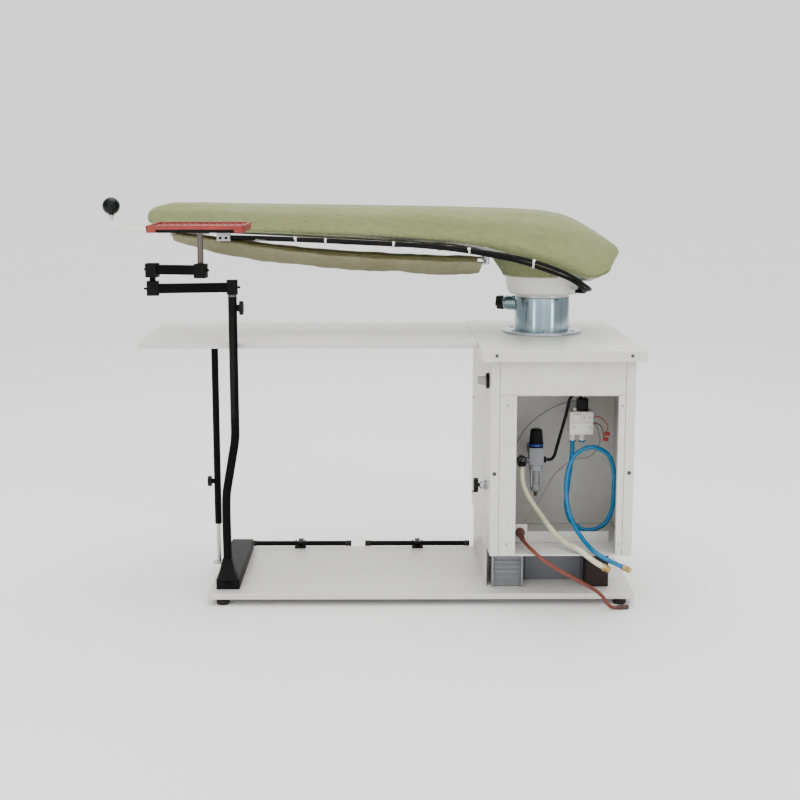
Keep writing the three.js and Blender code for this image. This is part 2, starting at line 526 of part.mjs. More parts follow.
const rest = bodyGroup(REST.x, REST.y, 0);
piece(rest, "rest_rod",
  join(rod(0, 0, UPPER_ARM.bottom, POST.radius, REST.bottom - UPPER_ARM.bottom - GAP, "z", POST.radius, 16),
    rod(0, 0, REST.bottom - 6, 20, 6 - GAP)), STEEL);
const panHalf = { x: 79, y: REST.depth / 2 };
piece(rest, "rest_pan",
  box(-panHalf.x, -panHalf.y, REST.bottom, panHalf.x, panHalf.y, REST.bottom + 6), BLACK);
function restMat() {
  const wide = REST.width / 2;
  const deep = REST.depth / 2;
  const rim = 5;
  const matBottom = REST.bottom + 6 + GAP;
  const slab = box(-wide, -deep, matBottom, wide, deep, REST.matTop);
  const well = box(-wide + rim, -deep + rim, matBottom + 4, wide - rim, deep - rim, REST.matTop + 5);
  const lips = [-1, 1].map((s) => {
    const [near, far] = [s * (panHalf.x + GAP), s * wide];
    return box(Math.min(near, far), -deep, REST.bottom, Math.max(near, far), deep, matBottom + 1);
  });
  return join(cut(slab, well), ...lips);
}
piece(rest, "rest_mat", restMat(), RED);

// ---------------------------------------------------------------- the board
const board = bodyGroup(PEDESTAL.x, PEDESTAL.y, 0);
const rel = (x) => x - PEDESTAL.x;

// Stations along the board: place, half width, height of the top and of the lower edge.
const STATIONS = [
  [-493, 20, 852, 834], [-488, 42, 858, 826], [-474, 58, 863, 820], [-450, 68, 865.5, 815],
  [-380, 78, 865.5, 808], [-276, 90, 863, 803], [-142, 104, 861, 797], [0, 117, 859, 791],
  [110, 127, 857, 786], [200, 134, 855, 779], [270, 138, 852.5, 768], [340, 141, 850.5, 748],
  [400, 141, 847, 729], [450, 138, 840, 711], [488, 132, 826, 698], [514, 125, 813, 699],
  [540, 114, 798, 710], [557, 102, 787, 737], [568, 88, 779, 758],
];
const sectionPoints = 16;

// A rounded box section: flat on top, with full shoulders and sides that draw in a little underneath.
function section(x, half, top, bottom, inset = 0, drop = 0) {
  const ring = [];
  for (let i = 0; i < sectionPoints; i++) {
    const turn = (i / sectionPoints) * 2 * Math.PI + Math.PI / sectionPoints;
    const c = Math.cos(turn);
    const s = Math.sin(turn);
    const power = 0.42;
    const y = Math.sign(c) * Math.abs(c) ** power * (half - inset) * (s < 0 ? 0.97 : 1);
    const high = top - inset;
    const low = bottom - drop;
    const z = (high + low) / 2 + Math.sign(s) * Math.abs(s) ** power * ((high - low) / 2);
    ring.push([rel(x), y, z]);
  }
  return ring;
}
const boardForm = (inset, drop, stations = STATIONS) =>
  loft(stations.map(([x, half, top, bottom]) => section(x, half, top, bottom, inset, drop)));

const panStations = STATIONS.slice(2, -2)
  .map(([x, half, top, bottom]) => [x + (x < 0 ? 10 : -8), half, top, bottom]);
const NECK = { bottom: 661, top: 752 };
const neckProfile = [
  [0, NECK.bottom], [73, NECK.bottom], [79, 666], [81.5, 674], [86, 703], [114, 745], [119, NECK.top],
  [0, NECK.top],
];
const skirtProfile = [[0, 704], [90, 704], [118.5, 745], [127, 756], [0, 756]];

// A solid of revolution about the pedestal's axis, from a profile of radius and height.
const turned = (profile, grow = 0) =>
  solidOf(new THREE.LatheGeometry(profile.map(([r, z]) => new THREE.Vector2(r ? r + grow : 0, z)), 36)
    .rotateX(Math.PI / 2));
const spigot = rod(0, 0, 622, PEDESTAL.bore - 1.2, 45, "z", PEDESTAL.bore - 1.2, 32);
const throat = rod(0, 0, 610, 40, 300);

// Two air lines clipped along the near lower edge of the board run into a bush each on the neck.
const UPPER_LINE = [
  [-300, -62, 793], [-291, -62, 793], [-276, -67, 793], [-142, -95, 790.5], [0, -108, 784.5],
  [110, -118, 779.5], [200, -128, 772.5], [270, -140, 764], [340, -147, 752], [400, -147, 735],
  [450, -142, 714], [482, -124, 693], [498, -107, 681.5], [502, -88, 677], [495, -70, 675],
  [481, -57, 675],
];
const LOWER_LINE = [
  [-300, -53, 789], [-291, -53, 789], [-276, -57, 789], [-142, -86, 786.5], [0, -99, 780.5],
  [110, -109, 775.5], [200, -119, 767.5], [270, -132, 757], [340, -140, 743], [400, -140, 724],
  [450, -134, 704.5], [477, -114, 687], [489, -100, 678], [491, -87, 672.5], [486, -75.5, 671],
  [474.2, -64.3, 671],
];
const LINE_RADIUS = 4;
const airLines = [["air_line_upper", UPPER_LINE], ["air_line_lower", LOWER_LINE]];
const BUSH = { radius: 6.5, length: 32, heading: 137 };
const bushes = airLines.map(([, route]) => {
  const [x, y, z] = route.at(-1);
  const bar = rod(GAP, 0, 0, BUSH.radius, BUSH.length, "x", BUSH.radius, 12);
  return bar.rotate([0, 0, BUSH.heading]).translate([rel(x), y, z]);
});
piece(board, "board_neck", cut(join(turned(neckProfile), spigot, ...bushes), throat), WHITE);

// The pan is a shell 4 mm thick that fills the cushion's underside and shows 6 mm below it.
const PAN = { inset: 13, drop: 6, wall: 4 };
const pan = boardForm(PAN.inset, PAN.drop, panStations);
const panHollow = boardForm(PAN.inset + PAN.wall, -PAN.wall, panStations.slice(1, -1));
const neckSpace = turned(neckProfile, 1);
const lineBlock = box(rel(-330), -71, 784.2, rel(-300) - GAP, -44, 802);
piece(board, "board_pan",
  join(cut(pan, panHollow, neckSpace.translate([0, 0, 1]), neckSpace.translate([0, 0, -1])), lineBlock),
  STEEL);

const roomForPan = panStations.map(([x, ...rest], i, all) =>
  [x + (i === 0 ? -1 : i === all.length - 1 ? 1 : 0), ...rest]);
const clearPan = boardForm(PAN.inset - 0.6, PAN.drop + 1, roomForPan);
const neckClearance = turned(neckProfile, 1.5).translate([0, 0, 0.6]);
piece(board, "board_cushion", cut(boardForm(0, 0), clearPan, neckClearance), GREEN);
const clearCushion = boardForm(-0.4, 0.4);
piece(board, "neck_cover", cut(turned(skirtProfile), clearPan, neckClearance, clearCushion), GREEN);

// The handle: a curved flat bar under the nose with a ball on its end.
const BALL = { x: -576, z: 859, radius: 20 };
function curvedStrip(points, thickness, width) {
  const curve = new THREE.SplineCurve(points.map((p) => new THREE.Vector2(...p)));
  const count = 24;
  const upper = [];
  const lower = [];
  for (let i = 0; i <= count; i++) {
    const p = curve.getPoint(i / count);
    const t = curve.getTangent(i / count);
    const side = new THREE.Vector2(-t.y, t.x).multiplyScalar(thickness / 2);
    upper.push(p.clone().add(side));
    lower.unshift(p.clone().sub(side));
  }
  const outline = new THREE.Shape([...upper, ...lower]);
  const strip = new THREE.ExtrudeGeometry(outline, { depth: width, bevelEnabled: false });
  return solidOf(strip.translate(0, 0, -width / 2).rotateX(Math.PI / 2));
}
const HANDLE = { thickness: 6, width: 24, stem: 4 };
const HANDLE_ROUTE = [
  [-578, 833], [-577, 823], [-563, 815], [-535, 810], [-490, 807], [-440, 804], [-390, 800],
].map(([x, z]) => [rel(x), z]);
const ballStem = rod(rel(BALL.x), 0, 829, HANDLE.stem, BALL.z - 829 - 12, "z", HANDLE.stem, 12);
piece(board, "handle_bar",
  join(curvedStrip(HANDLE_ROUTE, HANDLE.thickness, HANDLE.width), ballStem), STEEL);
const ball = solidOf(new THREE.SphereGeometry(BALL.radius, 24, 16).translate(rel(BALL.x), 0, BALL.z));
const ballHole = rod(rel(BALL.x), 0, 830, HANDLE.stem + GAP, BALL.z - 830 - 11, "z", HANDLE.stem + GAP, 12);
piece(board, "ball_knob", cut(ball, ballHole), BLACK);

// The catch cloth is a sling between two wires: place, half width, rim height and how deep it sags.
const SLING = [
  [-435, 34, 793, 5], [-400, 44, 788, 12], [-350, 54, 781, 20], [-255, 68, 768, 30],
  [-144, 80, 754, 28], [-33, 85, 745, 30], [78, 86, 739, 28], [150, 86, 736, 31], [254, 84, 733, 28],
  [276, 84, 732, 10],
];
const CLOTH = 2.5;
function slingRing([x, half, rim, sag]) {
  const count = 8;
  const outer = [];
  const inner = [];
  for (let i = 0; i <= count; i++) {
    const across = (2 * i) / count - 1;
    const drop = sag * (1 - Math.abs(across) ** 3);
    outer.push([rel(x), across * half, rim - drop - CLOTH]);
    inner.unshift([rel(x), across * (half - 0.4), rim - drop]);
  }
  return [...outer, ...inner];
}
piece(board, "catch_cloth", loft(SLING.map(slingRing)), GREEN);

const WIRE = 2.5;
const wireRoute = (side) => SLING.map(([x, half, rim]) => [rel(x), side * (half - 3), rim + WIRE + GAP]);
const nose = { x: rel(-437), half: 31 };
const rear = { x: rel(274), half: 81 };
const hangers = [-1, 1].flatMap((side) => [
  tubeAlong(wireRoute(side), WIRE, 36, 8),
  rod(nose.x + 1, side * nose.half, 793, 4, 25, "z", 4, 12),
  rod(rear.x - 1, side * rear.half, 732.5, 4, 38, "z", 4, 12),
]);
const noseBar = box(nose.x - 3, -nose.half, 794, nose.x + 5, nose.half, 799);
const rearBar = box(rear.x - 5, -rear.half, 734, rear.x + 3, rear.half, 740);
piece(board, "catch_cloth_frame",
  cut(join(noseBar, rearBar, ...hangers), boardForm(PAN.inset - 0.6, PAN.drop + 1, panStations),
    boardForm(-0.5, 1)), STEEL);

for (const [name, route] of airLines) {
  piece(board, name, tubeAlong(route.map(([x, y, z]) => [rel(x), y, z]), LINE_RADIUS, 76, 8), BLACK);
}

export default part;
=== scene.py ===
"""Looks of the sleeve ironing board, in metres: padded board, catch cloth, service cabinet and iron rest."""

import json
from math import copysign, cos, exp, pi, radians, sin

import bmesh
import bpy
from mathutils import Matrix, Vector, noise


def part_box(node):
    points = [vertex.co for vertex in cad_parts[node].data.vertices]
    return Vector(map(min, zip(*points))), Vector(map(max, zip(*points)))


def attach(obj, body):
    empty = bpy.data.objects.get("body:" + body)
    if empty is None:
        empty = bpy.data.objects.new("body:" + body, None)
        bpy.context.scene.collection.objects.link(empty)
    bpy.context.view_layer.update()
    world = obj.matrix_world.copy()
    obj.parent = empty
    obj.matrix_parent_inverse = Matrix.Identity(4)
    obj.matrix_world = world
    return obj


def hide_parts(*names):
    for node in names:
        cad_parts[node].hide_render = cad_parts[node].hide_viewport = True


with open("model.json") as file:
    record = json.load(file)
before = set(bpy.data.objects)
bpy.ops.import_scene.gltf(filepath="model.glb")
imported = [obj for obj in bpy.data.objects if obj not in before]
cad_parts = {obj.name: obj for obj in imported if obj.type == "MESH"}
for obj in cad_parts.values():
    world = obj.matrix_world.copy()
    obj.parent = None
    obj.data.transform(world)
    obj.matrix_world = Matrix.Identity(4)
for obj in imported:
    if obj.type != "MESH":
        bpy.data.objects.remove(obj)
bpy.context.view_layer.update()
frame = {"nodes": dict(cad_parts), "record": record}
BODIES = {node: body for body, nodes in frame["record"]["behaviour"]["bodies"].items() for node in nodes}
MM = 0.001
UP, DOWN, FORWARD, BACK, LEFT, RIGHT = (0, 0, 1), (0, 0, -1), (0, -1, 0), (0, 1, 0), (-1, 0, 0), (1, 0, 0)


def mm(*values):
    """Millimetres to a point or size in metres."""
    return Vector([v * MM for v in values])


def box_mm(node):
    """Lowest and highest corner of a CAD node, in millimetres."""
    return [[v / MM for v in corner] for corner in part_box(node)]


def middle_mm(node, *axes):
    """The middle of a CAD node along the given axes, in millimetres."""
    low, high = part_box(node)
    return [(low[a] + high[a]) / 2 / MM for a in axes]


def add_object(name, data):
    obj = bpy.data.objects.new(name, data)
    bpy.context.scene.collection.objects.link(obj)
    return obj


def mesh_object(name, bm):
    mesh = bpy.data.meshes.new(name)
    bm.to_mesh(mesh)
    bm.free()
    return add_object(name, mesh)


# -------- places from the frame
FRONT = box_mm("base_plate")[0][1]  # front edge of the base plate, millimetres
COLUMN = box_mm("pedestal_column")[1][0] - 62.5  # the pedestal's axis
BOARD_Y = FRONT + 265  # the board's centreline


def add_camera():
    """The eye stands three metres in front of the machine at chest height and looks 10 degrees down."""
    data = bpy.data.cameras.new("camera")
    data.lens = 64.2
    data.sensor_width = 36
    data.clip_end = 50
    camera = add_object("camera", data)
    camera.location = mm(60.5, FRONT - 3000, 988)
    camera.rotation_euler = (radians(79.99), 0, radians(-0.32))
    bpy.context.scene.camera = camera


add_camera()


# -------- material builder
class Nodes:
    """Adds and links nodes in one tree."""

    def __init__(self, tree):
        self.tree = tree

    def add(self, kind, inputs=(), **settings):
        """A node with its settings, and with values on the named inputs."""
        node = self.tree.nodes.new(kind)
        for key, value in settings.items():
            setattr(node, key, value)
        for key, value in dict(inputs).items():
            node.inputs[key].default_value = value
        return node

    def link(self, source, target):
        self.tree.links.new(source, target)

    def math(self, operation, a, b=0.0):
        node = self.add("ShaderNodeMath", operation=operation)
        for socket, value in zip(node.inputs, (a, b)):
            if isinstance(value, (int, float)):
                socket.default_value = value
            else:
                self.link(value, socket)
        return node.outputs[0]

    def axes(self, space="Object"):
        """X, Y and Z of a point, or of a direction for the world."""
        node = self.add("ShaderNodeSeparateXYZ")
        self.link(self.add("ShaderNodeTexCoord").outputs[space], node.inputs[0])
        return node.outputs

    def ramp(self, source, low, high, start, stop):
        """Changes smoothly from start to stop as the source goes from low to high."""
        node = self.add("ShaderNodeMapRange", interpolation_type="SMOOTHSTEP")
        for socket, value in zip(node.inputs[1:5], (low, high, start, stop)):
            socket.default_value = value
        self.link(source, node.inputs["Value"])
        return node.outputs[0]


class Surface(Nodes):
    """A node material: a Principled shader fed by noise that is fixed to the object."""

    def __init__(self, name, color, rough, metal=0.0, **sockets):
        self.mat = bpy.data.materials.new(name)
        self.mat.use_nodes = True
        super().__init__(self.mat.node_tree)
        self.shader = self.tree.nodes["Principled BSDF"]
        self.place = self.add("ShaderNodeTexCoord").outputs["Object"]
        self.color = color
        self.normal = None
        values = {"Base Color": (*color, 1), "Roughness": rough, "Metallic": metal, **sockets}
        for socket, value in values.items():
            self.shader.inputs[socket.replace("_", " ")].default_value = value

    def noise(self, scale, detail=3.0, stretch=(1, 1, 1)):
        mapping = self.add("ShaderNodeMapping", {"Scale": stretch})
        self.link(self.place, mapping.inputs["Vector"])
        tex = self.add("ShaderNodeTexNoise", {"Scale": scale, "Detail": detail})
        self.link(mapping.outputs[0], tex.inputs["Vector"])
        return tex.outputs["Fac"]

    def between(self, fac, low, high, a, b):
        """Colour a where fac is below low, b above high, and a smooth change between."""
        ramp = self.add("ShaderNodeValToRGB")
        for end, position, color in zip(ramp.color_ramp.elements, (low, high), (a, b)):
            end.position, end.color = position, (*color, 1)
        self.link(fac, ramp.inputs[0])
        return ramp.outputs[0]

    def mix_base(self, blend):
        """A mix node that takes over the base colour, with what was there as its first colour."""
        mix = self.add("ShaderNodeMix", data_type="RGBA", blend_type=blend)
        base = self.shader.inputs["Base Color"]
        if base.is_linked:
            self.link(base.links[0].from_socket, mix.inputs["A"])
        else:
            mix.inputs["A"].default_value = (*self.color, 1)
        self.link(mix.outputs["Result"], base)
        return mix

    def tint(self, source, amount=1.0):
        """Multiplies the base colour by a source colour."""
        mix = self.mix_base("MULTIPLY")
        mix.inputs["Factor"].default_value = amount
        self.link(source, mix.inputs["B"])

    def vary(self, scale, darkest, detail=4.0, stretch=(1, 1, 1), low=0.35, high=0.65):
        """Cloudy variation of the base colour, down to the darkest tint."""
        self.tint(self.between(self.noise(scale, detail, stretch), low, high, darkest, (1, 1, 1)))

    def roughness(self, fac, low, high):
        ramp = self.add("ShaderNodeMapRange", {"To Min": low, "To Max": high})
        self.link(fac, ramp.inputs["Value"])
        self.link(ramp.outputs[0], self.shader.inputs["Roughness"])

    def bump(self, height, distance, strength=1.0):
        node = self.add("ShaderNodeBump", {"Distance": distance, "Strength": strength})
        self.link(height, node.inputs["Height"])
        if self.normal is not None:
            self.link(self.normal, node.inputs["Normal"])
        self.normal = node.outputs[0]
        self.link(self.normal, self.shader.inputs["Normal"])

    def edge_wear_and_highlight(self, color):
        """Shows bare or rubbed material where the surface is sharply convex; on the black paint the lighter
        edge colour is a painted highlight instead.
        """
        uneven = self.math("MULTIPLY", self.noise(40, 5), 0.05)
        convex_edges = self.math("ADD", self.add("ShaderNodeNewGeometry").outputs["Pointiness"], uneven)
        mix = self.mix_base("MIX")
        mix.inputs["B"].default_value = (*color, 1)
        self.link(self.between(convex_edges, 0.56, 0.62, (0, 0, 0), (1, 1, 1)), mix.inputs["Factor"])


def powder_coat(name, color, rough, grime, wear_and_highlight=None, shine=0.5):
    """Orange-peel paint on sheet steel, a little dirtier near the floor."""
    s = Surface(name, color, rough, Specular_IOR_Level=shine)
    s.vary(2.5, grime, detail=5)
    dirt = s.math("ADD", s.axes()["Z"], s.math("MULTIPLY", s.noise(14, 6), 0.25))
    s.tint(s.between(dirt, 0.1, 0.42, tuple(0.5 * g + 0.42 for g in grime), (1, 1, 1)), 0.55)
    s.roughness(s.noise(60, 3), rough - 0.07, rough + 0.1)
    s.bump(s.noise(700, 2), 0.00012, 0.5)
    # edge colour: rubbed paint on the white paint, a painted highlight on the black paint
    if wear_and_highlight:
        s.edge_wear_and_highlight(wear_and_highlight)
    return s.mat


def plastic(name, color, rough, grain, fade=(0.8, 0.8, 0.8), shine=0.5):
    s = Surface(name, color, rough, Specular_IOR_Level=shine)
    s.vary(30, fade)
    s.roughness(s.noise(90, 4), rough - 0.05, rough + 0.1)
    s.bump(s.noise(1400, 2), 0.0001, grain)
    return s.mat


def metal(name, color, rough, stretch, fade=(0.75, 0.77, 0.8), scale=40):
    """Drawn or brushed metal: fine lines along the axis with the smallest stretch."""
    s = Surface(name, color, rough, 1.0)
    s.vary(scale, fade, detail=6, stretch=stretch, low=0.3, high=0.7)
    s.roughness(s.noise(scale * 2, 5, stretch), rough * 0.6, rough * 1.5)
    s.bump(s.noise(scale * 5, 3, stretch), 0.00005, 0.3)
    return s.mat


def woven(name, color, dark, thread, sheen, wear_scale=5.0):
    """Plain-weave cotton. The threads run along the board and round it, on both sides of its centreline."""
    s = Surface(name, color, 0.86, Sheen_Weight=sheen, Sheen_Roughness=0.5, Specular_IOR_Level=0.25)
    axes = s.axes()
    across = s.math("ABSOLUTE", s.math("SUBTRACT", axes["Y"], BOARD_Y * MM))
    round_it = s.math("SUBTRACT", across, axes["Z"])
    pitch = 2 * pi / thread
    warp = s.math("SINE", s.math("MULTIPLY", axes["X"], pitch))
    weft = s.math("SINE", s.math("MULTIPLY", round_it, pitch))
    weave = s.math("MULTIPLY", warp, weft)
    s.vary(wear_scale, dark, detail=6)
    s.vary(60, tuple(0.5 + 0.5 * d for d in dark), detail=3)
    slub = s.noise(300, 2, stretch=(0.15, 1, 1))
    s.tint(s.between(slub, 0.35, 0.6, (0.86, 0.86, 0.84), (1, 1, 1)))
    s.tint(s.between(s.math("ADD", weave, 0.5), 0.0, 1.0, (0.9, 0.9, 0.88), (1, 1, 1)))
    s.roughness(s.noise(25, 3), 0.8, 0.95)
    s.bump(weave, thread * 0.25, 0.5)
    s.bump(s.noise(22, 4), 0.003, 0.12)
    return s.mat


def silicone():
    s = Surface("red_silicone", (0.28, 0.025, 0.016), 0.5, Subsurface_Weight=0.08, Subsurface_Scale=0.004)
    s.vary(25, (0.75, 0.62, 0.6))
    s.tint(s.between(s.noise(9, 6), 0.3, 0.62, (0.72, 0.6, 0.55), (1, 1, 1)), 0.6)
    s.bump(s.noise(900, 2), 0.0001, 0.5)
    return s.mat


def clear_bowl():
    s = Surface("bowl", (0.55, 0.57, 0.57), 0.16, Transmission_Weight=0.72, IOR=1.5)
    s.vary(35, (0.8, 0.82, 0.8))
    s.bump(s.noise(120, 3), 0.0002, 0.2)
    return s.mat


# WHITE_EDGE is rubbed paint at worn edges; BLACK_EDGE_HIGHLIGHT is a painted highlight, lighter than the
# black paint on its convex edges
WHITE_EDGE, BLACK_EDGE_HIGHLIGHT = (0.7, 0.7, 0.68), (0.01, 0.01, 0.01)
MAT = {
    "white": powder_coat("white_paint", (0.56, 0.555, 0.515), 0.34, (0.93, 0.925, 0.9), WHITE_EDGE),
    "neck": plastic("neck_paint", (0.66, 0.66, 0.62), 0.35, 0.3, (0.93, 0.93, 0.9)),
    "black": powder_coat("black_paint", (0.0012, 0.0012, 0.0013), 0.5, (0.8, 0.8, 0.82), BLACK_EDGE_HIGHLIGHT, 0.07),
    "grey": powder_coat("grey_paint", (0.26, 0.27, 0.29), 0.5, (0.8, 0.8, 0.8)),
    "plastic": plastic("black_plastic", (0.003, 0.003, 0.0033), 0.42, 0.5, shine=0.16),
    "ball": plastic("bakelite", (0.0015, 0.002, 0.0022), 0.12, 0.05, (0.7, 0.7, 0.7), shine=0.2),
    "rubber": plastic("black_rubber", (0.02, 0.014, 0.012), 0.75, 0.7, shine=0.3),
    "grommet": plastic("brown_grommet", (0.13, 0.035, 0.024), 0.5, 0.4),
    "brown_rubber": plastic("brown_rubber", (0.075, 0.03, 0.022), 0.6, 0.6),
    "zinc": metal("zinc", (0.36, 0.46, 0.49), 0.16, (1, 1, 0.02), (0.6, 0.72, 0.8), 70),
    "flange": metal("zinc_flange", (0.6, 0.68, 0.7), 0.42, (1, 1, 0.1)),
    "steel": metal("steel", (0.5, 0.5, 0.49), 0.34, (0.06, 1, 1)),
    "rod": metal("rod_steel", (0.13, 0.11, 0.095), 0.34, (1, 1, 0.05)),
    "pale": metal("pale_metal", (0.74, 0.73, 0.7), 0.38, (1, 0.08, 1), (0.85, 0.85, 0.85)),
    "brass": metal("brass", (0.45, 0.3, 0.12), 0.3, (1, 1, 0.2), (0.8, 0.72, 0.6)),
    "cover": woven("cover_fabric", (0.285, 0.305, 0.15), (0.9, 0.93, 0.84), 0.0011, 0.12),
    # painted light: the skirt is the cover's own cloth, made lighter to offset the shade it sits in under the
    # board
    "skirt": woven("skirt_fabric_painted_light", (0.4, 0.43, 0.24), (0.9, 0.93, 0.84), 0.0011, 0.12),
    "catch": woven("catch_fabric", (0.5, 0.48, 0.3), (0.84, 0.84, 0.8), 0.0014, 0.1, 9.0),
    "hem": woven("hem_tape", (0.3, 0.325, 0.18), (0.85, 0.87, 0.8), 0.0012, 0.2, 20.0),
    "red": silicone(),
    "bowl": clear_bowl(),
    "cream": plastic("cream_plastic", (0.74, 0.73, 0.67), 0.36, 0.15, (0.9, 0.89, 0.86)),
    "white_plastic": plastic("white_plastic", (0.8, 0.8, 0.78), 0.35, 0.15, (0.92, 0.92, 0.9)),
    "blue": plastic("blue_hose", (0.0, 0.15, 0.32), 0.24, 0.08, (0.8, 0.86, 0.9), shine=0.4),
    "cream_hose": plastic("cream_hose", (0.66, 0.63, 0.46), 0.35, 0.15, (0.85, 0.83, 0.75)),
    "black_hose": plastic("black_hose", (0.0018, 0.0018, 0.002), 0.3, 0.12, shine=0.14),
    "lead": plastic("brown_lead", (0.17, 0.028, 0.01), 0.42, 0.4, (0.75, 0.7, 0.66)),
    "red_wire": plastic("red_wire", (0.38, 0.03, 0.02), 0.4, 0.1),
    # painted shade: the dark colour of the plinth boards stands in for the shadow under the cabinet
    "shade": powder_coat("painted_shade_material", (0.16, 0.165, 0.185), 0.6, (0.8, 0.8, 0.8)),
    "smoke": plastic("smoked_glass", (0.01, 0.01, 0.011), 0.2, 0.05, shine=0.2),
    "ring": plastic("blue_ring", (0.01, 0.04, 0.3), 0.3, 0.1),
    "body": metal("cast_metal", (0.2, 0.2, 0.21), 0.42, (1, 1, 1), (0.85, 0.85, 0.87)),
    "wire": plastic("grey_wire", (0.33, 0.3, 0.27), 0.45, 0.1),
    "board_wood": plastic("brown_board", (0.16, 0.12, 0.1), 0.6, 0.5),
    "dial": plastic("dial_white", (0.85, 0.85, 0.83), 0.3, 0.05, (0.96, 0.96, 0.96)),
}


# -------- mesh helpers
def finish(name, bm, material, body="stand", sharp=30, replaces=None):
    """Turns a bmesh into a smooth-shaded piece that rides a body and may stand for a CAD node."""
    bmesh.ops.recalc_face_normals(bm, faces=bm.faces)
    obj = mesh_object(name, bm)
    obj.data.shade_smooth()
    obj.data.set_sharp_from_angle(angle=radians(sharp))
    obj.data.materials.append(MAT[material])
    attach(obj, body)
    if replaces:
        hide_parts(replaces)
    return obj


def bevel_sharp(bm, width, angle=30):
    edges = [e for e in bm.edges if len(e.link_faces) == 2 and e.calc_face_angle(0) > radians(angle)]
    bmesh.ops.bevel(bm, geom=edges, offset=width, segments=2, profile=0.6, affect="EDGES", clamp_overlap=True)


def add_box(bm, low, high, bevel=0.0):
    """A box from its lowest to its highest corner, in millimetres."""
    part = bmesh.new()
    size = Vector(high) - Vector(low)
    middle = (Vector(high) + Vector(low)) / 2
    place = Matrix.Translation(middle * MM) @ Matrix.Diagonal((*(size * MM), 1))
    bmesh.ops.create_cube(part, size=1, matrix=place)
    if bevel:
        bevel_sharp(part, bevel * MM)
    merge(bm, part)


def merge(bm, part):
    """Adds one bmesh to another and frees it."""
    mesh = bpy.data.meshes.new("part")
    part.to_mesh(mesh)
    part.free()
    bm.from_mesh(mesh)
    bpy.data.meshes.remove(mesh)


def axis_turn(axis):
    """Turns +Z to the given direction."""
    return Vector(axis).to_track_quat("Z", "Y").to_matrix().to_4x4()


def skin(bm, rings, closed=True):
    """Faces between neighbouring rows of vertices; closed rows run all the way round."""
    for low, high in zip(rings, rings[1:]):
        count = max(len(low), len(high))
        for k in range(count if closed else count - 1):
            around = [(low, k), (low, k + 1), (high, k + 1), (high, k)]
            corners = list(dict.fromkeys(row[i % len(row)] for row, i in around))
            if len(corners) > 2:
                bm.faces.new(corners)


def add_lathe(bm, profile, centre, axis=UP, sides=48, scale=None):
    """Turns a profile of (radius, height) in millimetres about an axis through centre."""
    rings = []
    for radius, height in profile:
        if radius < 1e-6:
            rings.append([bm.verts.new((0, 0, height * MM))])
            continue
        ring = []
        for k in range(sides):
            turn = 2 * pi * k / sides
            r = radius * (scale(turn) if scale else 1) * MM
            ring.append(bm.verts.new((r * cos(turn), r * sin(turn), height * MM)))
        rings.append(ring)
    skin(bm, rings)
    move = Matrix.Translation(mm(*centre)) @ axis_turn(axis)
    bmesh.ops.transform(bm, matrix=move, verts=[v for ring in rings for v in ring])


def turned(name, material, shapes, body="stand", sharp=30, replaces=None):
    """A piece of turned shapes; each shape holds what add_lathe takes after the bmesh."""
    bm = bmesh.new()
    for shape in shapes:
        add_lathe(bm, *shape)
    return finish(name, bm, material, body, sharp, replaces=replaces)


def rounded(radius, low, high, edge=1.0):
    """Profile of a solid round bar with softened ends."""
    return [(0, low), (radius - edge, low), (radius - edge * 0.3, low + edge * 0.3), (radius, low + edge),
            (radius, high - edge), (radius - edge * 0.3, high - edge * 0.3), (radius - edge, high), (0, high)]


def add_tube(bm, points, radius, sides=12, closed=False):
    """A tube along points in metres; the radius is a number or a function of 0 to 1 along it."""
    count = len(points)
    rings = []
    side = None
    for i, p in enumerate(points):
        before = points[(i - 1) % count] if closed or i else p
        after = points[(i + 1) % count] if closed or i < count - 1 else p
        way = (after - before).normalized()
        side = way.orthogonal() if side is None else side - way * side.dot(way)
        side.normalize()
        other = way.cross(side)
        r = radius(i / (count - 1)) if callable(radius) else radius
        ring = []
        for k in range(sides):
            turn = 2 * pi * k / sides
            ring.append(bm.verts.new(p + side * (r * cos(turn)) + other * (r * sin(turn))))
        rings.append(ring)
    skin(bm, rings + rings[:1] if closed else rings)
    if not closed:
        bm.faces.new(rings[0])
        bm.faces.new(rings[-1])


def smooth_route(points, step=0.004):
    """The centripetal Catmull-Rom curve through points in millimetres, as close points in metres."""
    p = [mm(*q) for q in points]
    p = [p[0] * 2 - p[1]] + p + [p[-1] * 2 - p[-2]]
    out = []
    for i in range(1, len(p) - 2):
        a, b, c, d = p[i - 1:i + 3]
        knots = [0.0]
        for u, v in ((a, b), (b, c), (c, d)):
            knots.append(knots[-1] + max((v - u).length, 1e-6) ** 0.5)
        t0, t1, t2, t3 = knots
        count = max(2, round((c - b).length / step))
        for k in range(count):
            t = t1 + (t2 - t1) * k / count
            q1 = a.lerp(b, (t - t0) / (t1 - t0))
            q2 = b.lerp(c, (t - t1) / (t2 - t1))
            q3 = c.lerp(d, (t - t2) / (t3 - t2))
            first, second = q1.lerp(q2, (t - t0) / (t2 - t0)), q2.lerp(q3, (t - t1) / (t3 - t1))
            out.append(first.lerp(second, (t - t1) / (t2 - t1)))
    out.append(p[-2].copy())
    return out


def soften(node, material, width):
    """A copy of a CAD node with its flat faces made whole and its edges rounded, which stands for it."""
    bm = bmesh.new()
    bm.from_mesh(frame["nodes"][node].data)
    bmesh.ops.remove_doubles(bm, verts=bm.verts, dist=2e-6)
    bmesh.ops.dissolve_limit(bm, angle_limit=radians(0.8), verts=bm.verts, edges=bm.edges)
    bevel_sharp(bm, width * MM, 28)
    finish(node + "_piece", bm, material, BODIES[node], 35, replaces=node)


